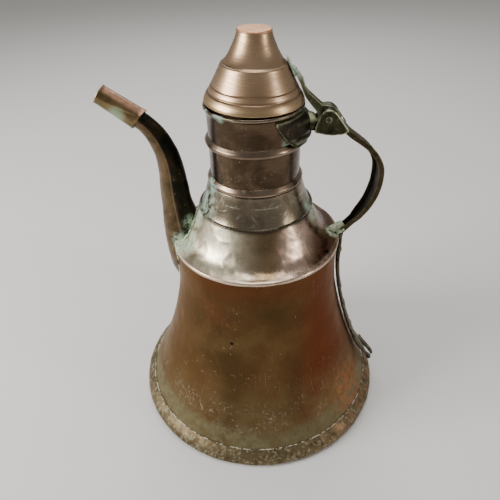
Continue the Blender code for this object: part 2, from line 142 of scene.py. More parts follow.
def smooth_shade(piece, sharp):
    piece.data.shade_smooth()
    if sharp:
        piece.data.set_sharp_from_angle(angle=math.radians(sharp))


def finish_mesh(name, verts, faces, sharp=None):
    mesh = bpy.data.meshes.new(name)
    mesh.from_pydata([tuple(v) for v in verts], [], faces)
    mesh.validate()
    form = bmesh.new()
    form.from_mesh(mesh)
    bpy.data.meshes.remove(mesh)
    made = link(name, form_mesh(name, form))
    smooth_shade(made, sharp)
    return made


def turned(name, outline, push=None, closed=True, steps=None, sharp=None):
    """Revolve (r, z) points; push(row, place, angle) gives a change of (r, z)."""
    steps = steps or TURN_STEPS
    verts = []
    index = []
    for i, p in enumerate(outline):
        if not closed and p[0] < 1e-7:
            index.append([len(verts)] * steps)
            verts.append((0.0, 0.0, p[1]))
            continue
        row = []
        for angle in circle(steps):
            r, z = p
            if push:
                dr, dz = push(i, Vector((r * math.cos(angle), r * math.sin(angle), z)), angle)
                r += dr
                z += dz
            row.append(len(verts))
            verts.append((r * math.cos(angle), r * math.sin(angle), z))
        index.append(row)
    faces = []
    rows = len(index) if closed else len(index) - 1
    for i in range(rows):
        low, high = index[i], index[(i + 1) % len(index)]
        for k in range(steps):
            j = (k + 1) % steps
            face = [low[k], low[j], high[j], high[k]]
            face = [v for n, v in enumerate(face) if v not in face[:n]]
            faces.append(face)
    return finish_mesh(name, verts, faces, sharp)


def loft(name, rings, loop=False, sharp=None):
    """Skin rings of points: capped at both ends, or joined from the last ring to the first."""
    count = len(rings[0])
    faces = []
    for a in range(len(rings) if loop else len(rings) - 1):
        low, high = a * count, (a + 1) % len(rings) * count
        faces += [[low + i, low + (i + 1) % count, high + (i + 1) % count, high + i]
                  for i in range(count)]
    if not loop:
        last = (len(rings) - 1) * count
        faces += [list(range(count)), list(range(last, last + count))]
    return finish_mesh(name, [p for ring in rings for p in ring], faces, sharp)


def frames(path):
    """Unit directions across a path in the XZ plane."""
    out = []
    for i in range(len(path)):
        a, b = path[max(i - 1, 0)], path[min(i + 1, len(path) - 1)]
        along = Vector((b[0] - a[0], b[1] - a[1])).normalized()
        out.append(Vector((along.y, -along.x)))
    return out


def ring_form(rings):
    """A closed form through rings of points, as bmesh geometry."""
    form = bmesh.new()
    rows = [[form.verts.new(p) for p in ring] for ring in rings]
    for a, b in zip(rows, rows[1:]):
        for i in range(len(a)):
            j = (i + 1) % len(a)
            form.faces.new((a[i], a[j], b[j], b[i]))
    form.faces.new(rows[0])
    form.faces.new(rows[-1])
    return form


def plate(outline, low, high):
    """A prism of (x, z) points between two values of y, all in mm."""
    return ring_form([[(x * MM, y * MM, z * MM) for x, z in outline] for y in (low, high)])


def cut(piece, tools):
    """Keep an object's form outside the tools."""
    for tool in tools:
        step = piece.modifiers.new("cut", "BOOLEAN")
        step.solver = "EXACT"
        step.object = tool
    bake(piece)
    for tool in tools:
        bpy.data.objects.remove(tool, do_unlink=True)


def cast(name, forms, voxel, passes, cutters=(), rough=0.0):
    """One soft-edged casting out of overlapping closed forms."""
    whole = bmesh.new()
    for form in forms:
        spare = form_mesh("form", form)
        whole.from_mesh(spare)
        bpy.data.meshes.remove(spare)
    mesh = bpy.data.meshes.new(name)
    whole.to_mesh(mesh)
    whole.free()
    made = link(name, mesh)
    remesh = made.modifiers.new("remesh", "REMESH")
    remesh.mode = "VOXEL"
    remesh.voxel_size = voxel
    soften = made.modifiers.new("soften", "SMOOTH")
    soften.iterations = passes
    soften.factor = 0.5
    cut(made, [link(name + "_cut", form_mesh("cut", form)) for form in cutters])
    if rough:
        for v in made.data.vertices:
            n = noise.noise(v.co * 160) + 0.5 * noise.noise(v.co * 420)
            v.co += v.normal * (n * rough)
    smooth_shade(made, 50)
    return made


def bake(made):
    """Apply an object's modifiers to its mesh."""
    bpy.context.view_layer.update()
    ready = made.evaluated_get(bpy.context.evaluated_depsgraph_get())
    mesh = bpy.data.meshes.new_from_object(ready)
    made.modifiers.clear()
    old = made.data
    made.data = mesh
    bpy.data.meshes.remove(old)


def rod(centre, radius, length, sides=32, axis=(0, 1, 0)):
    """A many-sided bar, for cutting holes, as bmesh geometry."""
    form = bmesh.new()
    turn = Vector((0, 0, 1)).rotation_difference(Vector(axis)).to_matrix().to_4x4()
    bmesh.ops.create_cone(form, cap_ends=True, segments=sides, radius1=radius, radius2=radius,
                          depth=length, matrix=Matrix.Translation(centre) @ turn)
    return form


def circle(count):
    """Angles of evenly spaced points round a circle."""
    return [2 * math.pi * k / count for k in range(count)]


def in_mm(*points):
    """Points given in mm, as vectors in metres."""
    return [Vector(p) * MM for p in points]


def arc(cx, cz, radius, start, end, count):
    turn = [math.radians(start + (end - start) * i / (count - 1)) for i in range(count)]
    return [(cx + radius * math.cos(a), cz + radius * math.sin(a)) for a in turn]


def place(piece, body, slot, surface, *nodes):
    """Give a piece its material and body, and let it stand for CAD nodes."""
    piece.data.materials.clear()
    piece.data.materials.append(surface)
    if body == LID:
        piece.matrix_world = LID_TILT @ piece.matrix_world
    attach(piece, body)
    if nodes:
        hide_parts(*nodes)


# ------------------------------------------------------------------ material tools

class Surface:
    """A Principled material and the nodes that feed it, in the piece's own coordinates."""

    def __init__(self, name, metallic=1.0):
        self.material = bpy.data.materials.new(name)
        self.material.use_nodes = True
        self.tree = self.material.node_tree
        self.shader = self.tree.nodes["Principled BSDF"]
        self.shader.inputs["Metallic"].default_value = metallic
        self.place = self.tree.nodes.new("ShaderNodeTexCoord").outputs["Object"]
        split = self.add("ShaderNodeSeparateXYZ", Vector=self.place)
        self.x, self.y, self.z = split.outputs

    def add(self, kind, props=None, **inputs):
        made = self.tree.nodes.new(kind)
        for key, value in (props or {}).items():
            setattr(made, key, value)
        for key, value in inputs.items():
            self.feed(made.inputs[key.replace("_", " ")], value)
        return made

    def feed(self, socket, value):
        if isinstance(value, bpy.types.NodeSocket):
            self.tree.links.new(value, socket)
        elif socket.type == "RGBA":
            socket.default_value = (*value, 1.0)
        else:
            socket.default_value = value

    def math(self, operation, a, b, clamp=False):
        made = self.add("ShaderNodeMath", {"operation": operation, "use_clamp": clamp})
        self.feed(made.inputs[0], a)
        self.feed(made.inputs[1], b)
        return made.outputs[0]

    def fold(self, operation, values):
        total = values[0]
        for value in values[1:]:
            total = self.math(operation, total, value)
        return total

    def times(self, *values):
        return self.fold("MULTIPLY", values)

    def plus(self, *values):
        return self.fold("ADD", values)

    def most(self, *values):
        return self.fold("MAXIMUM", values)

    def noise(self, scale, detail=4.0, rough=0.55, distort=0.0, where=None):
        made = self.add("ShaderNodeTexNoise", Vector=where or self.place, Scale=scale, Detail=detail,
                        Roughness=rough, Distortion=distort)
        return made.outputs["Fac"]

    def ring_place(self, around, up):
        """Coordinates wrapped round the axis: angle times around, height times up."""
        turn = self.times(self.math("ARCTAN2", self.y, self.x), around)
        return self.add("ShaderNodeCombineXYZ", X=turn, Y=self.times(self.z, up)).outputs[0]

    def cells(self, scale, where=None):
        made = self.add("ShaderNodeTexVoronoi", Vector=where or self.place, Scale=scale)
        return made.outputs["Distance"]

    def band(self, value, low, high, out_low=0.0, out_high=1.0):
        """Smooth rise of value from low to high."""
        made = self.add("ShaderNodeMapRange", {"interpolation_type": "SMOOTHSTEP"}, Value=value,
                        From_Min=low, From_Max=high, To_Min=out_low, To_Max=out_high)
        return made.outputs[0]

    def between(self, kind, sockets, values):
        made = self.add("ShaderNodeMix", {"data_type": kind})
        for socket, value in zip(sockets, values):
            self.feed(made.inputs[socket], value)
        return made

    def mix(self, amount, a, b):
        return self.between("RGBA", (0, 6, 7), (amount, a, b)).outputs[2]

    def blend(self, amount, a, b):
        return self.between("FLOAT", (0, 2, 3), (amount, a, b)).outputs[0]

    def relief(self, *parts):
        """Sum of (value, share) pairs."""
        return self.plus(*[self.times(value, share) for value, share in parts])

    def near(self, centre, inner, outer):
        """One at a point, falling to nothing at the outer distance."""
        made = self.add("ShaderNodeVectorMath", {"operation": "DISTANCE"})
        self.feed(made.inputs[0], self.place)
        made.inputs[1].default_value = centre
        return self.band(made.outputs["Value"], outer, inner)

    def facing(self, axis):
        """How far the surface faces along an axis of the scene."""
        normal = self.add("ShaderNodeNewGeometry").outputs["Normal"]
        return self.add("ShaderNodeSeparateXYZ", Vector=normal).outputs[axis]

    def stored(self, name):
        """A value stored at each point of the mesh."""
        return self.add("ShaderNodeAttribute", {"attribute_name": name}).outputs["Fac"]

    def paint(self, amount, tone):
        """Lay a tone over the colour so far."""
        self.colour = self.mix(amount, self.colour, tone)

    def finish(self, rough, metallic=None, height=None, depth=0.0, strength=1.0):
        inputs = {"Base Color": self.colour, "Roughness": rough}
        if metallic is not None:
            inputs["Metallic"] = metallic
        if height is not None:
            bump = self.add("ShaderNodeBump", Height=height, Distance=depth, Strength=strength)
            inputs["Normal"] = bump.outputs[0]
        for name, value in inputs.items():
            self.feed(self.shader.inputs[name], value)
        return self.material


def plain_metal(name, dark, base, light, rings=0.0):
    """Copper or brass with a mottled tone, specks and fine scratches."""
    s = Surface(name)
    mottle = s.noise(28.0, 6.0, 0.6, 0.6)
    fine = s.noise(252.0, 4.0, 0.6)
    s.colour = s.mix(s.band(mottle, 0.34, 0.62), dark, base)
    s.paint(s.band(fine, 0.55, 0.75, 0.0, 0.55), light)
    hair = s.noise(1.0, 2.0, 0.5, 1.5, s.ring_place(120.0, 90.0))
    s.paint(s.band(hair, 0.66, 0.72, 0.0, 0.35), light)
    height = s.times(fine, 0.25)
    if rings:
        streak = s.noise(1.0, 3.0, 0.6, 0.4, s.ring_place(9.0, 900.0))
        s.paint(s.band(streak, 0.45, 0.62, 0.0, rings), light)
        s.paint(s.band(streak, 0.5, 0.36, 0.0, rings), dark)
        height = s.plus(height, s.times(streak, rings * 1.5))
    speck = s.times(s.band(s.cells(330.0), 0.16, 0.07), s.band(s.noise(60.0, 2.0), 0.52, 0.62), 0.3)
    s.paint(speck, (0.62, 0.60, 0.50))
    return s.finish(s.band(mottle, 0.3, 0.7, 0.5, 0.32), s.blend(speck, 1.0, 0.1), height, 0.0004, 0.6)


# ------------------------------------------------------------------ materials

def foot_grime(s):
    """Greenish grey dirt at the foot of the body and on the base pan."""
    edge = s.plus(s.z, s.times(s.noise(26.0, 5.0, 0.65), 0.030))
    low = s.band(edge, 0.052, 0.041)
    thin = s.band(s.noise(120.0, 6.0, 0.7), 0.36, 0.60, 0.35, 0.9)
    tint = s.mix(s.noise(160.0, 5.0, 0.7), (0.080, 0.070, 0.030), (0.235, 0.215, 0.112))
    return s.times(low, thin), tint


def body_surface():
    s = Surface("body_patina_and_painted_light")
    broad = s.noise(9.0, 4.0, 0.5, 0.6)
    mottle = s.noise(34.0, 6.0, 0.6)
    fine = s.noise(300.0, 4.0, 0.6)
    s.colour = s.mix(s.band(broad, 0.36, 0.62), (0.072, 0.043, 0.017), (0.120, 0.060, 0.024))
    s.paint(s.band(mottle, 0.42, 0.70, 0.0, 0.6), (0.135, 0.085, 0.035))
    # Painted reflection: a red tint laid on a patch at the front left, on the right side and on the band
    # under the waist.
    red_cloth_reflection = s.times(s.near((-0.034, -0.066, 0.150), 0.006, 0.040), s.band(mottle, 0.40, 0.55), 0.35)
    red_cloth_reflection = s.most(red_cloth_reflection, s.band(s.x, 0.026, 0.062, 0.0, 0.85), s.band(s.z, 0.150, 0.176, 0.0, 0.40))
    s.paint(red_cloth_reflection, (0.108, 0.024, 0.010))
    # Painted light: the left side made lighter and warmer, as if lit from the left.
    s.paint(s.band(s.x, -0.035, -0.080, 0.0, 0.6), (0.140, 0.070, 0.026))
    s.paint(s.times(s.band(s.z, 0.085, 0.035), s.band(mottle, 0.30, 0.55, 0.3, 0.8)),
            (0.155, 0.110, 0.050))
    rough = s.band(mottle, 0.3, 0.7, 0.42, 0.30)
    hair = s.noise(1.0, 2.0, 0.5, 2.0, s.ring_place(60.0, 150.0))
    line = s.times(s.band(hair, 0.66, 0.70), s.band(s.noise(14.0), 0.48, 0.66))
    level = s.band(s.noise(1.0, 2.0, 0.5, 0.8, s.ring_place(16.0, 620.0)), 0.68, 0.72)
    upright = s.band(s.noise(1.0, 2.0, 0.5, 0.8, s.ring_place(190.0, 26.0)), 0.67, 0.71)
    scratch = s.times(s.most(level, upright), s.band(s.z, 0.120, 0.050),
                      s.band(s.noise(40.0), 0.44, 0.60))
    scuff = s.times(s.band(s.z, 0.024, 0.036), s.band(s.z, 0.060, 0.046),
                    s.band(s.noise(330.0, 8.0, 0.78, 0.6), 0.54, 0.62),
                    s.band(s.noise(30.0, 3.0), 0.42, 0.58))
    marks = s.most(s.times(line, 0.35), s.times(scuff, 0.85), s.times(scratch, 0.75))
    s.paint(marks, (0.42, 0.37, 0.29))
    rough = s.blend(marks, rough, 0.55)
    s.paint(s.times(s.band(s.cells(210.0), 0.13, 0.06), s.band(s.noise(45.0), 0.52, 0.62), 0.6),
            (0.55, 0.50, 0.38))
    mask, tint = foot_grime(s)
    s.paint(mask, tint)
    rough = s.blend(mask, rough, 0.66)
    metallic = s.blend(mask, 1.0, 0.35)
    rust = s.times(s.near((0.098, -0.055, 0.030), 0.012, 0.040),
                   s.band(s.noise(150.0, 6.0, 0.7), 0.42, 0.56))
    s.paint(s.times(rust, 0.8), (0.30, 0.125, 0.050))
    s.paint(s.near((-0.0195, -0.0765, 0.118), 0.0011, 0.0022), (0.008, 0.008, 0.008))
    height = s.relief((fine, 0.12), (mask, 0.35), (s.noise(60.0, 3.0), 0.5))
    s.shader.inputs["Specular Tint"].default_value = (0.86, 0.74, 0.64, 1.0)
    return s.finish(rough, metallic, height, 0.0004, 0.5)


def base_surface():
    s = Surface("base_patina")
    mottle = s.noise(110.0, 7.0, 0.65)
    s.colour = s.mix(s.band(mottle, 0.35, 0.65), (0.100, 0.070, 0.034), (0.175, 0.130, 0.068))
    scale = s.band(s.noise(300.0, 6.0, 0.72), 0.50, 0.62)
    s.paint(s.times(scale, 0.55), (0.34, 0.33, 0.21))
    rust = s.times(s.band(s.x, 0.050, 0.095), s.band(mottle, 0.40, 0.58))
    s.paint(s.times(rust, 0.45), (0.22, 0.105, 0.045))
    rough = s.band(mottle, 0.3, 0.7, 0.62, 0.44)
    stitch = s.cells(1.0, where=s.ring_place(26.0, 160.0))
    height = s.relief((mottle, 0.7), (stitch, 0.25))
    return s.finish(rough, s.blend(scale, 0.85, 0.25), height, 0.0006, 0.6)


def solder_surface():
    s = Surface("seam_solder")
    broken = s.band(s.noise(170.0, 5.0, 0.75), 0.46, 0.56)
    s.colour = s.mix(broken, (0.13, 0.10, 0.055), (0.60, 0.56, 0.44))
    return s.finish(0.5, s.blend(broken, 0.9, 0.4), s.noise(400.0), 0.0003, 0.5)


def shoulder_surface():
    s = Surface("shoulder_painted_highlights")
    wide = s.noise(26.0, 4.0, 0.55, 0.6)
    fine = s.noise(170.0, 5.0, 0.65)
    # Painted highlights: a silvery cream patch on the left front and a pinkish patch on the right front
    # stand in for window reflections.
    left_highlight = s.band(s.x, 0.010, -0.022)
    right_highlight = s.times(s.band(s.x, 0.016, 0.028), s.band(s.x, 0.054, 0.040))
    copper = s.mix(s.band(wide, 0.38, 0.62), (0.205, 0.142, 0.078), (0.325, 0.222, 0.130))
    copper = s.mix(s.band(s.x, 0.030, 0.062), copper, (0.160, 0.075, 0.045))
    s.colour = s.mix(s.band(fine, 0.50, 0.72, 0.0, 0.35), copper, (0.42, 0.33, 0.23))
    highlight_silver = s.mix(s.band(fine, 0.36, 0.60), (0.56, 0.49, 0.34), (0.83, 0.76, 0.58))
    s.paint(s.times(left_highlight, s.band(wide, 0.30, 0.46, 0.25, 1.0)), highlight_silver)
    s.paint(s.times(right_highlight, s.band(wide, 0.34, 0.52, 0.1, 0.9)), (0.60, 0.44, 0.35))
    s.paint(s.band(s.noise(75.0, 6.0, 0.7), 0.58, 0.70, 0.0, 0.55), (0.150, 0.115, 0.070))
    s.paint(s.times(s.band(s.cells(190.0), 0.14, 0.08), s.band(s.noise(40.0), 0.50, 0.60)),
            (0.03, 0.025, 0.02))
    s.paint(s.near((0.0624, -0.0325, 0.1886), 0.0012, 0.0024), (0.006, 0.006, 0.006))
    # Painted highlight: a pale band along the lower lip.
    lip = s.times(s.band(s.z, 0.1882, 0.1870), s.band(s.noise(80.0), 0.36, 0.52, 0.35, 1.0))
    s.paint(s.times(lip, 0.8), (0.66, 0.50, 0.38))
    bloom = s.most(s.near((-0.064, -0.024, 0.190), 0.006, 0.022),
                   s.near((0.070, -0.003, 0.189), 0.003, 0.011),
                   s.near((-0.050, -0.013, 0.211), 0.003, 0.015),
                   s.times(s.near((0.050, -0.010, 0.214), 0.002, 0.014), 0.8))
    bloom = s.times(bloom, s.band(s.noise(190.0, 7.0, 0.72), 0.40, 0.50))
    # Painted shade: a darker band at the top of the shoulder, under the collar's foot.
    s.paint(s.band(s.z, 0.2150, 0.2195, 0.0, 0.85), (0.030, 0.022, 0.012))
    s.paint(bloom, s.mix(s.noise(260.0), (0.20, 0.36, 0.26), (0.72, 0.78, 0.60)))
    rough = s.blend(s.times(left_highlight, 0.6), s.band(fine, 0.3, 0.7, 0.34, 0.20), 0.38)
    rough = s.blend(bloom, rough, 0.85)
    height = s.relief((s.cells(85.0), 0.30), (fine, 0.20), (bloom, 0.8))
    return s.finish(rough, s.blend(bloom, 1.0, 0.0), height, 0.0005, 0.5)


def neck_surface(name, tones, speckle, crusts=(), scored=None):
    """Turned copper of the neck: lathe lines, light ridges, mint deposits."""
    s = Surface(name)
    dark, base, light = tones
    mottle = s.noise(42.0, 5.0, 0.6, 0.7)
    line = s.noise(1.0, 3.0, 0.6, 0.0, s.ring_place(2.0, 1500.0))
    s.colour = s.mix(s.band(mottle, 0.36, 0.64), dark, base)
    s.paint(s.band(line, 0.52, 0.74, 0.0, 0.16), light)
    hair = s.noise(1.0, 2.0, 0.5, 2.5, s.ring_place(45.0, 260.0))
    scratch = s.times(s.band(hair, 0.67, 0.71), s.band(s.noise(30.0), 0.48, 0.60))
    s.paint(s.times(scratch, 0.5), (0.56, 0.52, 0.42))
    if scored:
        ring = s.times(s.band(s.z, scored - 0.0005, scored - 0.0002),
                       s.band(s.z, scored + 0.0005, scored + 0.0002))
        ring = s.times(ring, s.band(s.noise(55.0, 4.0), 0.44, 0.52))
        s.paint(s.times(ring, 0.8), (0.60, 0.56, 0.45))
        # Painted shade: the collar's foot made darker where it overhangs the shoulder.
        s.paint(s.band(s.z, 0.2216, 0.2204, 0.0, 0.8), (0.035, 0.028, 0.018))
    bits = s.times(s.band(s.cells(330.0), 0.17, 0.08), s.band(s.noise(55.0, 4.0), 0.50, 0.60), speckle)
    s.paint(bits, (0.55, 0.66, 0.56))
    cloud = s.band(s.noise(80.0, 8.0, 0.76, 0.6), 0.72 - 0.20 * speckle, 0.82 - 0.18 * speckle)
    cloud = s.times(cloud, s.band(s.x, 0.020, -0.040, 0.25, 1.0), speckle)
    grain = s.band(s.noise(170.0, 7.0, 0.72), 0.40, 0.54)
    for crust in crusts:
        cloud = s.most(cloud, s.times(s.near(*crust), grain))
    s.paint(cloud, s.mix(s.noise(240.0), (0.16, 0.30, 0.25), (0.50, 0.60, 0.48)))
    rough = s.blend(cloud, s.band(mottle, 0.3, 0.7, 0.34, 0.22), 0.8)
    height = s.relief((line, 0.12), (mottle, 0.6), (cloud, 0.6))
    return s.finish(rough, s.blend(cloud, 1.0, 0.1), height, 0.0004, 0.5)


def lid_surface():
    s = Surface("lid_turned")
    line = s.noise(1.0, 2.0, 0.6, 0.0, s.ring_place(1.2, 1250.0))
    broad = s.noise(1.0, 2.0, 0.5, 0.0, s.ring_place(0.8, 260.0))
    mottle = s.noise(36.0, 4.0, 0.5)
    s.colour = s.mix(s.band(mottle, 0.34, 0.66), (0.40, 0.265, 0.160), (0.50, 0.345, 0.220))
    s.paint(s.band(line, 0.52, 0.70, 0.0, 0.25), (0.62, 0.44, 0.31))
    s.paint(s.band(line, 0.46, 0.32, 0.0, 0.22), (0.24, 0.145, 0.085))
    s.paint(s.band(broad, 0.44, 0.60, 0.0, 0.22), (0.46, 0.33, 0.20))
    s.paint(s.band(s.z, 0.3165, 0.3120, 0.0, 0.6), (0.52, 0.37, 0.19))
    # Painted shade: the two grooves darkened.
    for low, high in ((0.3163, 0.3173), (0.3210, 0.3219)):
        groove_shade = s.times(s.band(s.z, low - 0.0007, low), s.band(s.z, high + 0.0007, high))
        s.paint(s.times(groove_shade, 0.35), (0.12, 0.065, 0.035))
    height = s.relief((line, 0.16), (broad, 0.15))
    rough = s.band(line, 0.3, 0.7, 0.34, 0.26)
    s.shader.inputs["Anisotropic"].default_value = 0.5
    return s.finish(rough, None, height, 0.0003, 0.5)


def disc_surface():
    s = Surface("disc_copper")
    mottle = s.noise(180.0, 5.0, 0.6)
    s.colour = s.mix(s.band(mottle, 0.35, 0.65), (0.60, 0.30, 0.16), (0.72, 0.41, 0.24))
    return s.finish(s.band(mottle, 0.3, 0.7, 0.46, 0.34), None, mottle, 0.0002, 0.4)


def spout_surface():
    s = Surface("spout_patina_and_painted_light")
    mottle = s.noise(60.0, 7.0, 0.65, 0.6)
    s.colour = s.mix(s.band(mottle, 0.34, 0.64), (0.066, 0.045, 0.023), (0.140, 0.090, 0.046))
    rubbed = s.band(s.noise(120.0, 5.0, 0.6), 0.56, 0.72, 0.0, 0.7)
    s.paint(s.times(rubbed, 0.5), (0.23, 0.16, 0.095))
    # Painted shade: the side facing the neck (+x) darkened to near black.
    facing = s.facing(0)
    shaded_side = s.times(s.band(facing, 0.08, 0.30), s.band(mottle, 0.80, 0.40, 0.7, 1.0))
    s.paint(s.times(shaded_side, 0.92), (0.010, 0.012, 0.009))
    # Painted highlight: a thin pale line along the spout's ridge, where the surface turns from the light.
    ridge = s.times(s.band(facing, 0.00, 0.06), s.band(facing, 0.14, 0.08))
    s.paint(s.times(ridge, 0.5), (0.30, 0.25, 0.16))
    dot = s.times(s.band(s.cells(250.0), 0.12, 0.06), s.band(s.noise(60.0), 0.50, 0.60))
    s.paint(s.times(dot, 0.8), (0.58, 0.58, 0.46))
    bloom = s.most(s.near((-0.066, -0.022, 0.188), 0.003, 0.014),
                   s.near((-0.057, -0.014, 0.205), 0.001, 0.010))
    bloom = s.times(bloom, s.band(s.noise(200.0, 7.0, 0.7), 0.42, 0.52))
    s.paint(bloom, s.mix(s.noise(240.0), (0.22, 0.42, 0.33), (0.66, 0.74, 0.56)))
    rough = s.blend(bloom, s.band(mottle, 0.3, 0.7, 0.46, 0.30), 0.85)
    height = s.relief((mottle, 0.8), (bloom, 0.6))
    return s.finish(rough, s.blend(bloom, 0.95, 0.0), height, 0.0006, 0.6)


def sleeve_surface():
    s = Surface("sleeve_brass")
    mottle = s.noise(90.0, 6.0, 0.65)
    top = s.band(s.noise(40.0, 3.0), 0.3, 0.7)
    s.colour = s.mix(s.band(mottle, 0.36, 0.62), (0.125, 0.092, 0.042), (0.250, 0.165, 0.085))
    # Painted light: faces turned upward made tan, as if lit from above.
    upward = s.facing(2)
    top_light = s.times(s.band(upward, 0.45, 0.80), s.blend(top, 0.5, 0.9))
    s.paint(top_light, (0.46, 0.26, 0.17))
    # Painted shade: the lower side of the sleeve darkened olive.
    under = s.plus(s.times(s.x, 0.732), s.z)
    s.paint(s.band(under, 0.2262, 0.2222, 0.0, 0.7), (0.115, 0.105, 0.045))
    patch = s.times(s.near((-0.107, -0.007, 0.302), 0.003, 0.009), s.band(mottle, 0.40, 0.50))
    s.paint(s.times(patch, 0.8), (0.24, 0.34, 0.20))
    rough = s.band(mottle, 0.3, 0.7, 0.50, 0.34)
    return s.finish(rough, s.blend(patch, 1.0, 0.3), mottle, 0.0005, 0.5)


def cast_surface(name, tones, edge_tone, bloom_amount=0.3, spot=None):
    """Cast brass with a dark skin, rubbed pale on its raised edges, with painted shade inside a channel.
    """
    s = Surface(name)
    dark, base, light = tones
    mottle = s.noise(110.0, 7.0, 0.65, 0.5)
    s.colour = s.mix(s.band(mottle, 0.34, 0.62), dark, base)
    s.paint(s.band(s.noise(260.0, 5.0, 0.6), 0.54, 0.72, 0.0, 0.6), light)
    worn = s.math("MULTIPLY", s.stored("edge"), s.band(s.noise(170.0, 4.0), 0.36, 0.52, 0.35, 1.0),
                  clamp=True)
    s.paint(worn, edge_tone)
    # Painted shade: points marked as inside a channel darkened to near black.
    s.paint(s.times(s.stored("channel_shade"), 0.85), (0.012, 0.009, 0.006))
    bloom = s.band(s.noise(95.0, 8.0, 0.72, 0.4), 0.72 - 0.25 * bloom_amount, 0.82 - 0.25 * bloom_amount)
    tint = s.mix(s.noise(280.0), (0.20, 0.30, 0.18), (0.52, 0.60, 0.40))
    if spot:
        *where, hue = spot
        local = s.times(s.near(*where), s.band(mottle, 0.30, 0.45))
        tint = s.mix(local, tint, hue)
        bloom = s.most(bloom, local)
    s.paint(bloom, tint)
    rough = s.blend(bloom, s.band(mottle, 0.3, 0.7, 0.52, 0.34), 0.85)
    height = s.plus(mottle, s.times(bloom, 0.6))
    return s.finish(rough, s.blend(bloom, 0.92, 0.0), height, 0.0005, 0.55)


def mint_surface(name="braze_bloom", dark=(0.20, 0.25, 0.12), pale=(0.66, 0.74, 0.52)):
    s = Surface(name, 0.0)
    lump = s.noise(230.0, 7.0, 0.7)
    s.colour = s.mix(s.band(lump, 0.36, 0.58), dark, pale)
    s.paint(s.band(s.noise(120.0), 0.58, 0.70, 0.0, 0.6), (0.34, 0.52, 0.42))
    return s.finish(0.88, None, lump, 0.0008, 0.8)


def mark_edges(piece, low=0.12, high=0.45):
    """Store how convex each point is, for wear on raised edges."""
    mesh = piece.data
    bm = bmesh.new()
    bm.from_mesh(mesh)
    bm.normal_update()
    values = []
    for v in bm.verts:
        total = 0.0
        for e in v.link_edges:
            if len(e.link_faces) == 2:
                total += max(0.0, e.calc_face_angle_signed(0.0))
        values.append(smoothstep(low, high, total / max(1, len(v.link_edges))))
    spread = list(values)
    for v in bm.verts:
        around = [values[e.other_vert(v).index] for e in v.link_edges]
        spread[v.index] = 0.5 * values[v.index] + 0.5 * sum(around) / max(1, len(around))
    bm.free()
    layer = mesh.attributes.new("edge", "FLOAT", "POINT")
    layer.data.foreach_set("value", spread)


# ------------------------------------------------------------------ body and base

def body_radius(z):
    rise = max(0.0, (WAIST_Z - z) / (WAIST_Z - SEAM_Z))
    return WAIST_R + (SEAM_R - WAIST_R) * rise ** 1.7


def dents(point, size, seed=0.0):
    return noise.noise(point / size + Vector((seed, seed * 0.7, -seed)))


def planish(point, size):
    """Shallow bowls left by a planishing hammer, 0 at their middles and 1 at their rims."""
    near = noise.voronoi(point / size)[0]
    return near[0] ** 2 / max(1e-6, near[1] ** 2)


def sheet_push(outer_count, broad, bowl, bowl_size, floor_z=None):
    """Radial push for beaten sheet; outer and inner skins move together."""
    def push(i, p, angle):
        d = broad * (dents(p, 0.045) + 0.5 * dents(p, 0.018, 3.0))
        if bowl and i < outer_count:
            d -= bowl * (1.0 - planish(p, bowl_size)) - bowl * 0.5
        if floor_z is not None:
            d *= smoothstep(floor_z, floor_z + 0.008, p.z)
        return d, 0.0
    return push


def make_body():
    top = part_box("body_shell")[1][2]
    low = 0.0052
    count = 90
    outer = [Vector((body_radius(top + (low - top) * i / count), top + (low - top) * i / count))
             for i in range(count + 1)]
    piece = turned("body_bell", shell(outer, SHEET),
                   sheet_push(count + 1, 0.0004, 0.00012, 0.016, 0.010))
    place(piece, POT, "body_copper", body_surface(), "body_shell")


def make_base():
    skirt = catmull([(0.11735, 0.0148), (0.1200, 0.0124), (0.1229, 0.0098), (0.1250, 0.0072),
                     (0.12600, 0.0048)], 4)
    rim = catmull([(0.12600, 0.0048), (0.12620, 0.0028), (0.12500, 0.0009), (0.1222, 0.0)], 5)
    under = [Vector((r, 0.0)) for r in (0.110, 0.085, 0.055, 0.025, 0.0)]
    inside = [(0.0, 0.0014), (0.060, 0.0014), (0.1205, 0.0014), (0.1236, 0.0026), (0.1239, 0.0042),
              (0.1165, 0.0136)]
    outline = [Vector(p) for p in inside] + skirt[:-1] + rim + under

    def push(i, p, angle):
        if p.xy.length < 0.112 or p.z < 0.0004:
            return 0.0, 0.0
        ripple = 0.00030 * dents(p, 0.012) + 0.00035 * dents(p, 0.040, 5.0)
        ripple += 0.00012 * math.sin(angle * 46 + 2.0 * dents(p, 0.03, 2.0))
        return ripple - 0.0002, 0.0002 * dents(p, 0.02, 8.0) if p.z > 0.002 else 0.0

    piece = turned("base_flange", outline, push, closed=False, sharp=60)
    place(piece, POT, "base_copper", base_surface(), "base_pan")

    bead = [(SEAM_R + 0.0001 + 0.00050 * math.cos(a), SEAM_Z + 0.0004 + 0.00050 * math.sin(a))
            for a in circle(8)]

    def wander(i, p, angle):
        along = Vector((math.cos(angle), math.sin(angle), 0.0))
        return 0.00015 * noise.noise(along * 40.0), 0.00035 * noise.noise(along * 9.0)

    seam = turned("base_seam_line", bead, wander, steps=360)
    place(seam, POT, "solder", solder_surface(), "base_seam_solder")


# ------------------------------------------------------------------ shoulder and neck

SHOULDER = [
    (0.0470, 0.2214), (0.0494, 0.2164), (0.0523, 0.2102), (0.0553, 0.2040), (0.0585, 0.1984),
    (0.0620, 0.1937), (0.0659, 0.1905), (0.0703, 0.1884), (0.0738, 0.1874),
]


def shoulder_radius(z):
    for (r1, z1), (r2, z2) in zip(SHOULDER, SHOULDER[1:]):
        if z2 <= z <= z1:
            return r1 + (r2 - r1) * (z1 - z) / (z1 - z2)
    return SHOULDER[0][0] if z > SHOULDER[0][1] else 0.0755


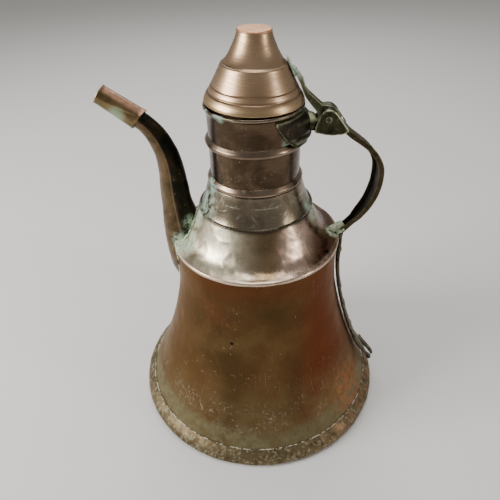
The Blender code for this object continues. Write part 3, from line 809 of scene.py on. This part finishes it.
def make_shoulder():
    curve = catmull([Vector(p) for p in SHOULDER], 5)
    lip = rounded([curve[-1], (0.0756, 0.1866), (0.0756, 0.1841)], 0.0011, 4)
    outline = curve + lip[1:] + [Vector(p) for p in (
        (0.0746, 0.1841), (0.0744, 0.1855), (0.0732, 0.1862), (0.0700, 0.1872), (0.0643, 0.1904),
        (0.0590, 0.1966), (0.0549, 0.2034), (0.0503, 0.2121), (0.0459, 0.2209))]

    def push(i, p, angle):
        fade = smoothstep(0.2195, 0.2150, p.z)
        d = 0.00040 * dents(p, 0.030) + 0.00010 * dents(p, 0.012, 4.0)
        d -= 0.00020 * (1.0 - planish(p, 0.014)) - 0.00010
        edge = smoothstep(0.1895, 0.1868, p.z)
        sag = 0.00045 * dents(p, 0.012, 9.0) * edge
        return d * fade * (1 - 0.5 * edge), d * 0.6 * fade + sag

    piece = turned("shoulder_trumpet", resample(outline, 0.0012), push)
    place(piece, POT, "shoulder_copper", shoulder_surface(), "shoulder_shell")


# Verdigris on the neck: centre, full to this radius, gone at this radius
COLLAR_CRUSTS = (((-0.040, -0.018, 0.230), 0.005, 0.020), ((-0.034, -0.020, 0.2465), 0.003, 0.012),
                 ((0.043, -0.012, 0.222), 0.002, 0.012))
MOUTH_CRUSTS = (((-0.036, -0.014, 0.3080), 0.003, 0.010), ((-0.024, -0.030, 0.3090), 0.002, 0.007),
                ((0.029, -0.026, 0.2860), 0.002, 0.010))


def make_neck():
    tones = ((0.052, 0.035, 0.021), (0.098, 0.064, 0.040), (0.30, 0.21, 0.145))
    grey = ((0.130, 0.105, 0.070), (0.25, 0.205, 0.145), (0.46, 0.40, 0.30))
    # The beads get lighter tones than the barrel: their copper with a painted highlight.
    bead_tones_with_highlight = ((0.17, 0.120, 0.085), (0.28, 0.205, 0.150), (0.56, 0.47, 0.37))

    collar = catmull(in_mm(
        (39.9, 244.9), (40.6, 241.4), (41.9, 236.6), (43.5, 231.0), (45.4, 226.0), (47.0, 222.6),
        (48.0, 220.9)), 5)
    foot = rounded(in_mm((48.0, 220.9), (49.4, 220.9), (50.0, 220.1), (49.8, 219.2), (48.8, 219.4)),
                   0.0005, 3)
    outline = collar[:-1] + foot + in_mm((47.0, 221.0), (44.8, 223.8), (42.4, 229.0), (40.7, 236.4),
                                         (38.8, 244.9))
    piece = turned("neck_collar_flare", resample(outline, 0.0012),
                   sheet_push(60, 0.00018, 0.00008, 0.012))
    place(piece, POT, "neck_copper", neck_surface("collar_patina", grey, 0.85, COLLAR_CRUSTS, 0.2363),
          "neck_collar")

    tube = in_mm(
        (39.3, 306.6), (38.6, 305.6), (37.9, 303.2), (37.5, 298.0), (37.4, 285.0), (37.3, 270.0),
        (37.3, 252.0), (37.3, 240.2))
    outer = catmull(tube, 6)
    outline = outer + in_mm((36.1, 240.2), (36.1, 270.0), (36.3, 298.0), (37.0, 304.6), (38.0, 306.6))
    piece = turned("neck_barrel", resample(outline, 0.0015), sheet_push(60, 0.00022, 0.00006, 0.014))
    place(piece, POT, "neck_copper", neck_surface("neck_patina", tones, 0.35, MOUTH_CRUSTS), "neck_tube")

    for name, node, base_z in (("neck_bead_low", "neck_ring_lower", 244.8),
                               ("neck_bead_high", "neck_ring_upper", 278.0)):
        section = [(37.2, 6.6), (37.9, 6.1), (38.6, 5.2), (39.3, 4.3), (39.9, 3.4), (40.2, 2.4),
                   (40.1, 1.3), (39.6, 0.4), (38.7, 0.0), (37.6, -0.2), (36.8, -0.2)]
        section = [Vector((r, z + base_z)) * MM for r, z in section]
        piece = turned(name, catmull(section, 3), sheet_push(99, 0.00020, 0.0, 0.01))
        place(piece, POT, "neck_copper", neck_surface(name + "_patina", bead_tones_with_highlight, 0.6, COLLAR_CRUSTS), node)

    wire = in_mm(*[(38.8 + 1.15 * math.cos(a), 307.9 + 1.35 * math.sin(a)) for a in circle(12)])
    piece = turned("mouth_rolled_rim", wire, sheet_push(99, 0.00025, 0.0, 0.01))
    place(piece, POT, "neck_copper",
          neck_surface("rim_patina", (grey[0], grey[1], (0.5, 0.43, 0.32)), 0.9, MOUTH_CRUSTS),
          "mouth_rim_wire")


# ------------------------------------------------------------------ spout

SPOUT = (
    (-66.0, 130.0, 7.5, 9.0), (-66.0, 142.0, 12.0, 15.0), (-66.5, 155.0, 15.5, 19.0),
    (-67.0, 170.0, 17.0, 20.5), (-67.5, 186.0, 17.2, 19.5), (-68.3, 198.0, 16.5, 17.3),
    (-69.3, 209.0, 15.0, 15.3), (-70.4, 220.0, 13.4, 13.6), (-71.0, 234.0, 12.5, 12.4),
    (-71.3, 246.5, 11.5, 11.3), (-72.1, 257.0, 10.6, 10.4), (-74.3, 267.3, 9.8, 9.7),
    (-78.0, 277.0, 9.1, 9.1), (-82.0, 284.0, 8.4, 8.4), (-86.3, 289.4, 7.8, 7.8),
    (-90.8, 293.6, 7.45, 7.45), (-105.0, 304.0, 6.9, 6.9), (-119.3, 314.5, 6.3, 6.3),
)
SPOUT_SIDES = 48


def oval(x, z, across, depth, width, sides, power=2.0):
    ring = []
    for a in circle(sides):
        c, s = math.cos(a), math.sin(a)
        shape = (abs(c) ** power + abs(s) ** power) ** (-1.0 / power)
        ring.append(Vector((x + across.x * depth * c * shape, width * s * shape,
                            z + across.y * depth * c * shape)))
    return ring


def pot_gap(p):
    """How far a point stands outside the pot's skin."""
    r = math.hypot(p.x, p.y)
    return r - (body_radius(p.z) if p.z < 0.1845 else shoulder_radius(p.z))


def make_spout():
    stations = catmull([Vector(row) * MM for row in SPOUT], 4)
    rings = []
    linings = []
    for (x, z, depth, width), across in zip(stations, frames(stations)):
        ridge = smoothstep(0.205, 0.235, z) * (1.0 - smoothstep(0.290, 0.302, z))
        power = 2.0 - 0.28 * ridge
        centre = Vector((x, 0.0, z))
        ring = []
        for p in oval(x, z, across, depth, width, SPOUT_SIDES, power):
            d = 0.00030 * dents(p, 0.016, 2.0) + 0.00012 * dents(p, 0.006, 6.0)
            ring.append(p + (p - centre).normalized() * d)
        rings.append(ring)
        linings.append(oval(x, z, across, depth - 0.0011, width - 0.0011, SPOUT_SIDES))
    tube = loft("spout_swan_neck", rings + linings[::-1], loop=True)
    outline = [(0.0, 0.2350), (0.0465, 0.2350)] + [(r + 0.0003, z) for r, z in SHOULDER]
    outline += [(0.0758, 0.1865), (0.0758, 0.1838)]
    outline += [(body_radius(z) + 0.0003, z) for z in (0.1832, 0.170, 0.160, 0.150, 0.140, 0.130, 0.120)]
    outline += [(0.0, 0.120)]
    envelope = turned("envelope", [Vector(p) for p in outline], closed=False, steps=128)
    cut(tube, [envelope])
    smooth_shade(tube, 55)
    place(tube, POT, "dark_brass", spout_surface(), "spout_tube")

    joint = []
    for k in range(SPOUT_SIDES):
        for low, high in zip(rings[::-1][1:], rings[::-1]):
            a, b = low[k], high[k]
            ga, gb = pot_gap(a), pot_gap(b)
            if ga < 0.0 <= gb:
                joint.append(b.lerp(a, gb / (gb - ga)))
                break
    bead = []
    for k, p in enumerate(joint):
        ahead = (joint[(k + 1) % len(joint)] - joint[k - 1]).normalized()
        out = Vector((p.x, p.y, 0.0)).normalized()
        side = ahead.cross(out).normalized()
        wide = (0.0011 + 0.0016 * smoothstep(0.030, 0.006, abs(p.z - 0.190))
                + 0.0006 * dents(p, 0.008, 1.0))
        bead.append([p + side * (wide * math.cos(a)) + out * (0.62 * wide * math.sin(a))
                     for a in circle(12)])
    solder = loft("spout_root_solder", bead, loop=True)
    smooth_more(solder, 2, 0.0004)
    place(solder, POT, "braze", mint_surface("root_bloom", (0.17, 0.20, 0.09), (0.60, 0.68, 0.46)))

    start, end = Vector((-0.0922, 0.2946)), Vector((-0.1207, 0.3155))
    along = (end - start).normalized()
    across = Vector((along.y, -along.x))
    rings = []
    linings = []
    for n in range(27):
        t = n / 26
        centre = start.lerp(end, t)
        radius = 0.00885 - 0.0012 * t
        radius += 0.0004 * smoothstep(0.06, 0.0, t) + 0.00045 * smoothstep(0.95, 1.0, t)
        lap = []
        for a in circle(64):
            step_up = 0.0007 * (1.0 - smoothstep(0.0, 2.6, (a + 0.9 + 0.8 * t) % (2 * math.pi)))
            wave = 0.00012 * noise.noise(Vector((a * 2, t * 9, 1.0)))
            r = radius + step_up + wave
            slip = -0.0016 * math.sin(a * 1.0 + 0.6) * smoothstep(0.12, 0.0, t)
            lap.append(Vector((centre.x + across.x * r * math.cos(a) + along.x * slip, r * math.sin(a),
                               centre.y + across.y * r * math.cos(a) + along.y * slip)))
        rings.append(lap)
        linings.append(oval(centre.x, centre.y, across, radius - 0.0009, radius - 0.0009, 64))
    sleeve = loft("spout_lapped_sleeve", rings + linings[::-1], loop=True, sharp=40)
    place(sleeve, POT, "sleeve_brass", sleeve_surface(), "spout_sleeve")
    lip = []
    axis = Vector((along.x, 0.0, along.y))
    for a in circle(64):
        ahead = Vector((across.x * math.cos(a), math.sin(a), across.y * math.cos(a)))
        middle = Vector((end.x, 0.0, end.y)) + ahead * 0.0073
        lip.append([middle + ahead * (0.00085 * math.cos(b)) + axis * (0.0007 * math.sin(b))
                    for b in circle(10)])
    rim = loft("spout_mouth_edge", lip, loop=True)
    place(rim, POT, "sleeve_brass",
          plain_metal("mouth_edge", (0.36, 0.30, 0.17), (0.60, 0.52, 0.34), (0.80, 0.74, 0.56)))


def smooth_more(piece, levels, rough):
    """Subdivide a piece and break its surface up a little."""
    sub = piece.modifiers.new("sub", "SUBSURF")
    sub.levels = levels
    sub.render_levels = levels
    bake(piece)
    for v in piece.data.vertices:
        v.co += v.normal * (rough * (noise.noise(v.co * 300) + 0.6 * noise.noise(v.co * 800)))
    smooth_shade(piece, None)


make_body()
make_base()
make_shoulder()
make_neck()
make_spout()


# ------------------------------------------------------------------ handle

OLIVE = ((0.015, 0.014, 0.008), (0.046, 0.042, 0.021), (0.14, 0.13, 0.075))
GRIP_TONES = ((0.016, 0.012, 0.006), (0.048, 0.034, 0.016), (0.15, 0.12, 0.06))
STRAP_TONES = ((0.052, 0.058, 0.028), (0.120, 0.130, 0.066), (0.25, 0.27, 0.16))
YELLOW_EDGE = (0.50, 0.47, 0.28)


def make_bracket():
    """Leaf plate bent round the neck, thick at its middle, with a raised worn border."""
    columns, rows = 84, 30
    reach = 62.5
    top = 0.3052
    rings = []
    for i in range(columns + 1):
        degrees = -reach + 2 * reach * i / columns
        away = abs(degrees)
        low = 0.2800 + 0.0012 * (away / 34.0) ** 2
        if away > 34.0:
            low = 0.2812 + 0.0209 * ((away - 34.0) / (reach - 34.0)) ** 1.6
        high = top - 0.0006 * smoothstep(30, 60, away)
        out = Vector((math.cos(math.radians(degrees)), math.sin(math.radians(degrees)), 0.0))
        outer = []
        inner = []
        for j in range(rows + 1):
            t = j / rows
            z = low + (high - low) * t
            back = 0.0376 + 0.0032 * smoothstep(0.2875, 0.2848, z)
            border = min(min(t, 1 - t) * (high - low), (reach - away) * 0.00065)
            thick = 0.0017 + 0.0007 * smoothstep(0.0020, 0.0007, border)
            thick -= 0.0009 * smoothstep(0.0006, 0.0, border)
            thick += (0.0052 * smoothstep(46.0, 6.0, away) * smoothstep(0.0, 0.34, t)
                      * smoothstep(1.0, 0.66, t))
            level = Vector((0, 0, z))
            thick += 0.00045 * dents(out * 0.04 + level, 0.008, 3.0)
            outer.append(out * (back + thick) + level)
            inner.append(out * back + level)
        rings.append(outer + inner[::-1])
    piece = loft("bracket_leaf", rings, sharp=60)
    mark_edges(piece, 0.03, 0.16)
    place(piece, POT, "dark_brass",
          cast_surface("bracket_skin",
                       ((0.013, 0.011, 0.008), (0.040, 0.030, 0.020), (0.13, 0.11, 0.075)),
                       (0.23, 0.24, 0.15), 0.12), "handle_bracket")


def make_saddle():
    lobe = arc(PIN_X, PIN_Z, 7.4, 156, 48, 12)
    ear = ([(47.6, 287.0), (47.8, 292.0), (49.8, 297.6)] + lobe
           + [(66.0, 299.6), (69.4, 295.0), (73.4, 289.6), (73.8, 287.8), (70.4, 285.6),
              (62.0, 284.6), (54.0, 285.6)])
    forms = [plate(ear, -FORK_HALF, FORK_HALF)]
    path = [(40.2, 291.8, 9.4, 11.4), (42.0, 292.6, 8.0, 10.2), (44.4, 293.0, 6.8, 9.4),
            (47.0, 292.6, 6.2, 9.2), (50.5, 290.8, 4.8, 9.4), (56.0, 289.6, 4.2, 9.4)]
    rings = []
    for x, z, deep, wide in catmull([Vector(p) for p in path], 3):
        ring = []
        for a in circle(20):
            side, up = (math.copysign(abs(c) ** 0.6, c) for c in (math.sin(a), math.cos(a)))
            ring.append((x * MM, side * wide * 0.82 * MM, (z + up * deep) * MM))
        rings.append(ring)
    forms.append(ring_form(rings))
    slot = plate([(51.4, 294.5), (80.0, 294.5), (80.0, 322.0), (49.0, 322.0), (49.0, 298.0)],
                 -SLOT_HALF, SLOT_HALF)
    slot_round = rod(PIN, 0.0094, 0.0095, 48)
    neck = rod(Vector((0, 0, 0.297)), 0.03985, 0.05, 96, (0, 0, 1))
    hole = rod(PIN, PIN_HOLE_R, 0.04)
    piece = cast("saddle_fork", forms, 0.00055, 5, (slot, slot_round, neck, hole), 0.00012)
    mark_edges(piece, 0.07, 0.32)
    place(piece, POT, "dark_brass",
          cast_surface("fork_skin", OLIVE, (0.74, 0.77, 0.50), 0.45,
                       ((0.0450, -0.005, 0.3012), 0.003, 0.0085, (0.76, 0.82, 0.46))),
          "handle_saddle")

    heads = []
    for y, radius in ((-11.2, 0.0), (-11.1, 0.9), (-10.7, 1.7), (-10.0, 2.1), (-9.6, 2.1), (-9.4, 1.8),
                      (9.4, 1.8), (9.6, 2.1), (10.0, 2.1), (10.7, 1.7), (11.1, 0.9), (11.2, 0.0)):
        reach = max(radius, 0.02)
        heads.append([PIN + Vector((reach * MM * math.cos(a), y * MM, reach * MM * math.sin(a)))
                      for a in circle(40)])
    pin = loft("hinge_pin_peened", heads)
    mark_edges(pin)
    place(pin, POT, "dark_brass",
          cast_surface("pin_skin", OLIVE, (0.16, 0.16, 0.10), 0.1,
                       ((0.0594, -0.0110, 0.2990), 0.0002, 0.0013, (0.14, 0.34, 0.29))),
          "hinge_pin")


def make_grip():
    path = catmull(in_mm(
        (72.7, 290.2), (79.2, 284.7), (87.2, 279.3), (94.8, 273.2), (101.0, 265.8), (105.0, 257.5),
        (106.3, 248.0), (105.6, 237.0), (103.2, 226.5), (98.6, 215.5), (91.8, 204.5), (85.0, 195.8),
        (79.6, 189.2)), 7)
    deep, wall = 0.0043, 0.0017
    rings = []
    last = len(path) - 1
    for i, (point, across) in enumerate(zip(path, frames(path))):
        belly = math.sin(math.pi * min(1.0, i / last * 1.15)) ** 0.5 if i else 0.0
        half = 0.0055 + 0.0040 * belly
        turn = 0.17 * belly
        section = [Vector(p) for p in (
            (0.0, -half), (deep, -half), (deep, wall - half), (wall * 1.1, wall - half),
            (wall * 1.1, half - wall), (deep, half - wall), (deep, half), (0.0, half))]
        ring = []
        for u, v in rounded(section, 0.0009, 3, cyclic=True):
            crown = 0.0007 * (1.0 - (v / half) ** 2) if u < wall else 0.0
            u += (v + 0.6 * half) * turn - crown + 0.0003
            p = Vector((point.x + across.x * u, v, point.y + across.y * u))
            ring.append(p + Vector((0.00013 * dents(p, 0.007), 0.00018 * dents(p, 0.008, 4.0),
                                    0.00013 * dents(p, 0.007, 7.0))))
        rings.append(ring)
    piece = loft("grip_channel", rings, sharp=70)
    mark_edges(piece, 0.12, 0.50)
    count = len(rings[0])
    # Mark the inside of the channel for painted shade.
    channel_shade = piece.data.attributes.new("channel_shade", "FLOAT", "POINT")
    inside = [1.0 if count * 0.30 < k % count < count * 0.70 else 0.0
              for k in range(len(piece.data.vertices))]
    channel_shade.data.foreach_set("value", inside)
    place(piece, POT, "grip_brass", cast_surface("grip_skin", GRIP_TONES, (0.34, 0.30, 0.155), 0.05),
          "handle_grip")

    lump = [plate([(77.0, 188.4), (77.8, 190.2), (80.6, 194.0), (77.0, 197.6), (72.6, 195.0),
                   (68.2, 191.6), (66.4, 190.6), (70.2, 188.9), (74.0, 188.2)], -3.6, 3.6)]
    for x, y, z, r in ((74.5, -5.2, 190.2, 2.1), (75.0, 5.2, 190.4, 2.1), (70.5, -3.0, 190.9, 2.0),
                       (70.5, 3.0, 190.9, 2.0), (76.6, -6.2, 191.5, 1.7), (76.6, 6.2, 191.5, 1.7),
                       (68.0, 0.5, 191.0, 1.7), (78.8, -6.6, 193.4, 1.4), (78.8, 6.6, 193.4, 1.4)):
        ball = bmesh.new()
        bmesh.ops.create_icosphere(ball, subdivisions=2, radius=r * MM,
                                   matrix=Matrix.Translation(Vector((x, y, z)) * MM))
        lump.append(ball)
    braze = cast("foot_braze_lump", lump, 0.0005, 6, (), 0.00045)
    place(braze, POT, "braze", mint_surface(), "handle_foot_braze")


def ribbon(name, stations, sides_cut=0.42):
    """Bar with eased edges along (x, z, width, depth) stations, in metres."""
    rings = []
    for (x, z, width, depth), across in zip(stations, frames(stations)):
        half_w, half_d = width / 2, depth / 2
        corner = [Vector(p) for p in ((half_d, half_w), (-half_d, half_w), (-half_d, -half_w),
                                      (half_d, -half_w))]
        ring = []
        for u, v in rounded(corner, min(half_w, half_d) * sides_cut * 2, 3, cyclic=True):
            p = Vector((x + across.x * u, v, z + across.y * u))
            ring.append(p + Vector((0, 0.00022 * dents(p, 0.006), 0)) +
                        Vector((across.x, 0, across.y)) * (0.00016 * dents(p, 0.005, 5.0)))
        rings.append(ring)
    return loft(name, rings, sharp=70)


def make_tail():
    knuckles = (0.170, 0.124, 0.097, 0.0665)
    stations = []
    z = 0.1874
    while z > 0.046:
        swell = sum(math.exp(-((z - k) / 0.0022) ** 2) for k in knuckles)
        wave = 0.0005 * math.sin(z * 190.0)
        x = body_radius(z) + 0.0033 + 0.0003 * swell
        x = max(x, 0.0778 * smoothstep(0.181, 0.185, z))
        stations.append(Vector((x, z, 0.0098 + 0.0024 * swell + wave, 0.0036 + 0.0010 * swell)))
        z -= 0.0016
    end = [(108.2, 40.8, 9.2, 3.0), (112.4, 33.8, 7.8, 2.7), (117.0, 26.6, 5.8, 2.3),
           (120.8, 21.2, 4.0, 2.2), (122.6, 18.6, 4.4, 4.2), (124.0, 16.2, 4.9, 4.9),
           (125.1, 14.2, 3.6, 3.6), (125.5, 13.6, 1.2, 1.2)]
    stations += catmull(in_mm(*end), 3)
    piece = ribbon("tail_strap_knuckled", stations)
    mark_edges(piece, 0.05, 0.30)
    tones = ((0.010, 0.009, 0.007), (0.030, 0.025, 0.017), (0.11, 0.10, 0.065))
    place(piece, POT, "dark_brass", cast_surface("tail_skin", tones, (0.17, 0.15, 0.10), 0.05),
          "tail_strap")
    curl = [(110.2, 48.0, 7.2, 1.4), (112.2, 44.6, 6.6, 2.2), (114.6, 40.8, 6.0, 3.0),
            (117.4, 36.6, 5.4, 3.6), (120.6, 32.4, 4.8, 3.8), (123.4, 28.2, 4.4, 3.6),
            (125.6, 24.4, 4.2, 3.4), (126.3, 21.8, 3.6, 2.8), (126.4, 21.2, 1.6, 1.4)]
    piece = ribbon("tail_curl_bar", catmull(in_mm(*curl), 4), 0.48)
    mark_edges(piece, 0.05, 0.30)
    place(piece, POT, "dark_brass", cast_surface("curl_skin", tones, (0.17, 0.15, 0.10), 0.05),
          "tail_curl")


# ------------------------------------------------------------------ lid

FLANK = ((0.0336, 0.3202), (0.0257, 0.3354))


def flank(z, out):
    """Point in mm a distance outside the lid's flank, at a height in mm."""
    (r1, z1), (r2, z2) = [(r / MM, h / MM) for r, h in FLANK]
    along = Vector((r2 - r1, z2 - z1))
    normal = Vector((along.y, -along.x)).normalized()
    share = (z - z1) / (z2 - z1)
    return r1 + along.x * share + normal.x * out, z + normal.y * out


def make_lid():
    upper = catmull(in_mm((12.7, 358.9), (14.0, 354.4), (16.2, 349.4), (18.4, 344.9), (20.6, 341.2),
                          (22.6, 338.4), (23.6, 337.4)), 6)
    step = rounded([upper[-1], Vector((0.0252, 0.3368)), Vector((0.0259, 0.3352)),
                    Vector((0.0276, 0.3318))], 0.0006, 4)
    lower = catmull(in_mm((27.6, 331.8), (29.5, 328.1), (31.4, 324.4), (32.45, 322.4)), 5)
    grooves = in_mm((32.6, 321.9), (32.75, 321.4), (33.2, 321.2), (33.9, 319.9), (34.75, 318.2),
                                       (35.0, 317.4), (34.95, 317.0), (35.3, 316.6), (36.1, 316.2))
    brim = catmull(in_mm((36.1, 316.2), (37.4, 314.2), (38.5, 311.9), (39.0, 310.3)), 5)
    edge = in_mm((39.15, 309.9), (38.9, 309.5), (38.3, 309.5), (37.9, 309.8))
    outer = upper + step[1:] + lower[1:] + grooves + brim[1:] + edge
    inner = in_mm((36.9, 312.4), (35.2, 315.4), (33.3, 318.6), (31.2, 322.4), (27.9, 328.8),
                  (24.7, 335.0), (22.6, 336.2), (19.4, 341.4), (15.4, 349.2), (11.6, 358.9))
    outline = resample(outer + inner, 0.0009)

    def push(i, p, angle):
        lathe = 0.000015 * noise.noise(Vector((0.0, 0.0, p.z * 1600.0)))
        return 0.00018 * dents(p, 0.030, 3.0) + lathe, 0.0

    piece = turned("lid_turned_cone", outline, push)
    place(piece, LID, "lid_copper", lid_surface(), "lid_cone")

    disc = rounded(in_mm((0.0, 360.15), (12.3, 360.05), (12.95, 359.4), (12.9, 358.7), (12.2, 358.55),
                         (0.0, 358.55)), 0.0005, 4)
    piece = turned("lid_crown_disc", resample(disc, 0.0015),
                   lambda i, p, a: (0.0, 0.0002 * noise.noise(Vector((p.x, p.y, 0)) * 90)),
                   closed=False)
    place(piece, LID, "lid_copper", disc_surface(), "lid_top_disc")

    ring = rounded(in_mm((32.2, 314.6), (33.4, 314.6), (33.4, 301.6), (33.0, 300.3), (32.2, 300.3)),
                   0.0004, 3)
    piece = turned("lid_inner_ring", ring)
    place(piece, LID, "lid_copper",
          plain_metal("inner_ring_copper", (0.10, 0.055, 0.030), (0.22, 0.125, 0.075), (0.36, 0.23, 0.15),
                    rings=0.3), "lid_plug_ring")

    under = 1.75
    side = [flank(333.4, under), flank(327.4, under), flank(321.6, under + 0.3), (37.8, 315.0),
            (39.9, 311.5), (43.8, 306.8), (48.6, 301.2)]
    side += arc(PIN_X, PIN_Z, 8.5, 160, 440, 26)
    side += [(52.4, 306.9), (46.4, 312.2), (41.4, 316.4), (38.9, 319.3), flank(323.0, under + 3.5),
             flank(328.0, under + 2.5), flank(333.0, under + 1.3)]
    hole = rod(PIN, PIN_HOLE_R, 0.03)
    strap = cast("lid_hinge_strap", [plate(side, -STRAP_HALF, STRAP_HALF)], 0.0005, 5, (hole,), 0.00014)
    for v in strap.data.vertices:
        waist = smoothstep(0.044, 0.038, v.co.x) * smoothstep(0.030, 0.035, v.co.x)
        v.co.y *= 1.0 - 0.22 * waist
    mark_edges(strap)
    place(strap, LID, "strap_brass",
          cast_surface("strap_skin", STRAP_TONES, (0.52, 0.44, 0.31), 0.35,
                       ((0.0300, -0.003, 0.3310), 0.003, 0.010, (0.42, 0.55, 0.42))), "lid_strap")

    leaf_shape = [flank(327.0, 0.3), flank(327.8, 1.5), flank(333.0, 1.6), flank(339.4, 1.9),
                  flank(341.0, 1.5), flank(340.4, 0.6)]
    leaf = cast("lid_strap_backing", [plate(leaf_shape, -LEAF_HALF, LEAF_HALF)], 0.0004, 4, (), 0.00012)
    for v in leaf.data.vertices:
        v.co.y *= 1.0 - 0.35 * smoothstep(0.333, 0.341, v.co.z)
    mark_edges(leaf)
    place(leaf, LID, "strap_brass", mint_surface("leaf_bloom", (0.22, 0.30, 0.22), (0.58, 0.70, 0.56)),
          "lid_strap_leaf")

    (r1, z1), (r2, z2) = FLANK
    outward = Vector((z2 - z1, 0.0, r1 - r2)).normalized()
    sideways = Vector((-outward.z, 0.0, outward.x))
    skin = cast_surface("rivet_skin", STRAP_TONES, YELLOW_EDGE, 0.3)
    for name, node, z, reach in (("lid_rivet_high", "lid_rivet_upper", 331.2, 5.2),
                                 ("lid_rivet_low", "lid_rivet_lower", 327.7, 5.9)):
        foot = flank(z, -1.9)
        centre = Vector((foot[0] * MM, 0.0, foot[1] * MM))
        rings = []
        for far, radius in ((-0.5, 0.1), (-0.4, 0.9), (0.0, 1.5), (0.28, 1.6), (0.28, 0.9), (reach, 0.9),
                            (reach, 1.65), (reach + 0.35, 1.5), (reach + 0.7, 0.9), (reach + 0.8, 0.1)):
            middle = centre + outward * far * MM
            rings.append([middle + sideways * (radius * MM * math.cos(a))
                          + Vector((0, radius * MM * math.sin(a), 0)) for a in circle(28)])
        rivet = loft(name, rings, sharp=60)
        mark_edges(rivet)
        place(rivet, LID, "strap_brass", skin, node)


make_bracket()
make_saddle()
make_grip()
make_tail()
make_lid()


# ------------------------------------------------------------------ studio

# Solved from the pot's rings: base edge, lip, collar and mouth
SENSOR_MM, FOCAL_MM = 36.0, 34.2
CAMERA_PLACE = (0.01891, -0.36084, 0.43948)
CAMERA_RIGHT = (0.998387, 0.051410, -0.024091)
CAMERA_UP = (-0.011993, 0.605723, 0.795585)
CAMERA_BACK = (0.055493, -0.794013, 0.605363)


def area(name, place_at, aim, size, power, colour=(1.0, 1.0, 1.0)):
    lamp = bpy.data.lights.new(name, "AREA")
    lamp.shape = "RECTANGLE"
    lamp.size, lamp.size_y = size
    lamp.energy = power
    lamp.color = colour
    made = link(name, lamp)
    made.location = place_at
    made.rotation_euler = (Vector(aim) - Vector(place_at)).to_track_quat("-Z", "Y").to_euler()


def make_studio():
    floor = turned("studio_floor", [Vector((3.0, -0.0006)), Vector((0.0, -0.0006))], closed=False,
                   steps=64)
    s = Surface("pale_floor", 0.0)
    s.colour = (0.80, 0.79, 0.77)
    floor.data.materials.append(s.finish(0.75))
    world = bpy.data.worlds.new("soft_room")
    bpy.context.scene.world = world
    world.use_nodes = True
    world.node_tree.nodes["Background"].inputs["Color"].default_value = (1.0, 0.97, 0.93, 1.0)
    world.node_tree.nodes["Background"].inputs["Strength"].default_value = 0.30
    area("window_left", (-1.25, -0.42, 0.78), (0, 0, 0.24), (0.75, 0.55), 22.0, (1.0, 0.98, 0.95))
    area("window_right", (1.15, -0.45, 0.62), (0, 0, 0.24), (0.10, 0.60), 3.6, (1.0, 0.93, 0.86))
    area("ceiling", (0.0, 0.15, 1.7), (0, 0, 0.2), (0.8, 0.8), 9.0)
    area("window_back", (-0.1, 1.30, 1.32), (0, 0, 0.34), (0.9, 0.5), 9.0, (1.0, 0.98, 0.96))

    lens = bpy.data.cameras.new("camera")
    lens.sensor_width = SENSOR_MM
    lens.lens = FOCAL_MM
    lens.clip_start = 0.01
    camera = link("camera", lens)
    turn = Matrix((CAMERA_RIGHT, CAMERA_UP, CAMERA_BACK)).transposed().to_4x4()
    camera.matrix_world = Matrix.Translation(CAMERA_PLACE) @ turn
    bpy.context.scene.camera = camera


make_studio()
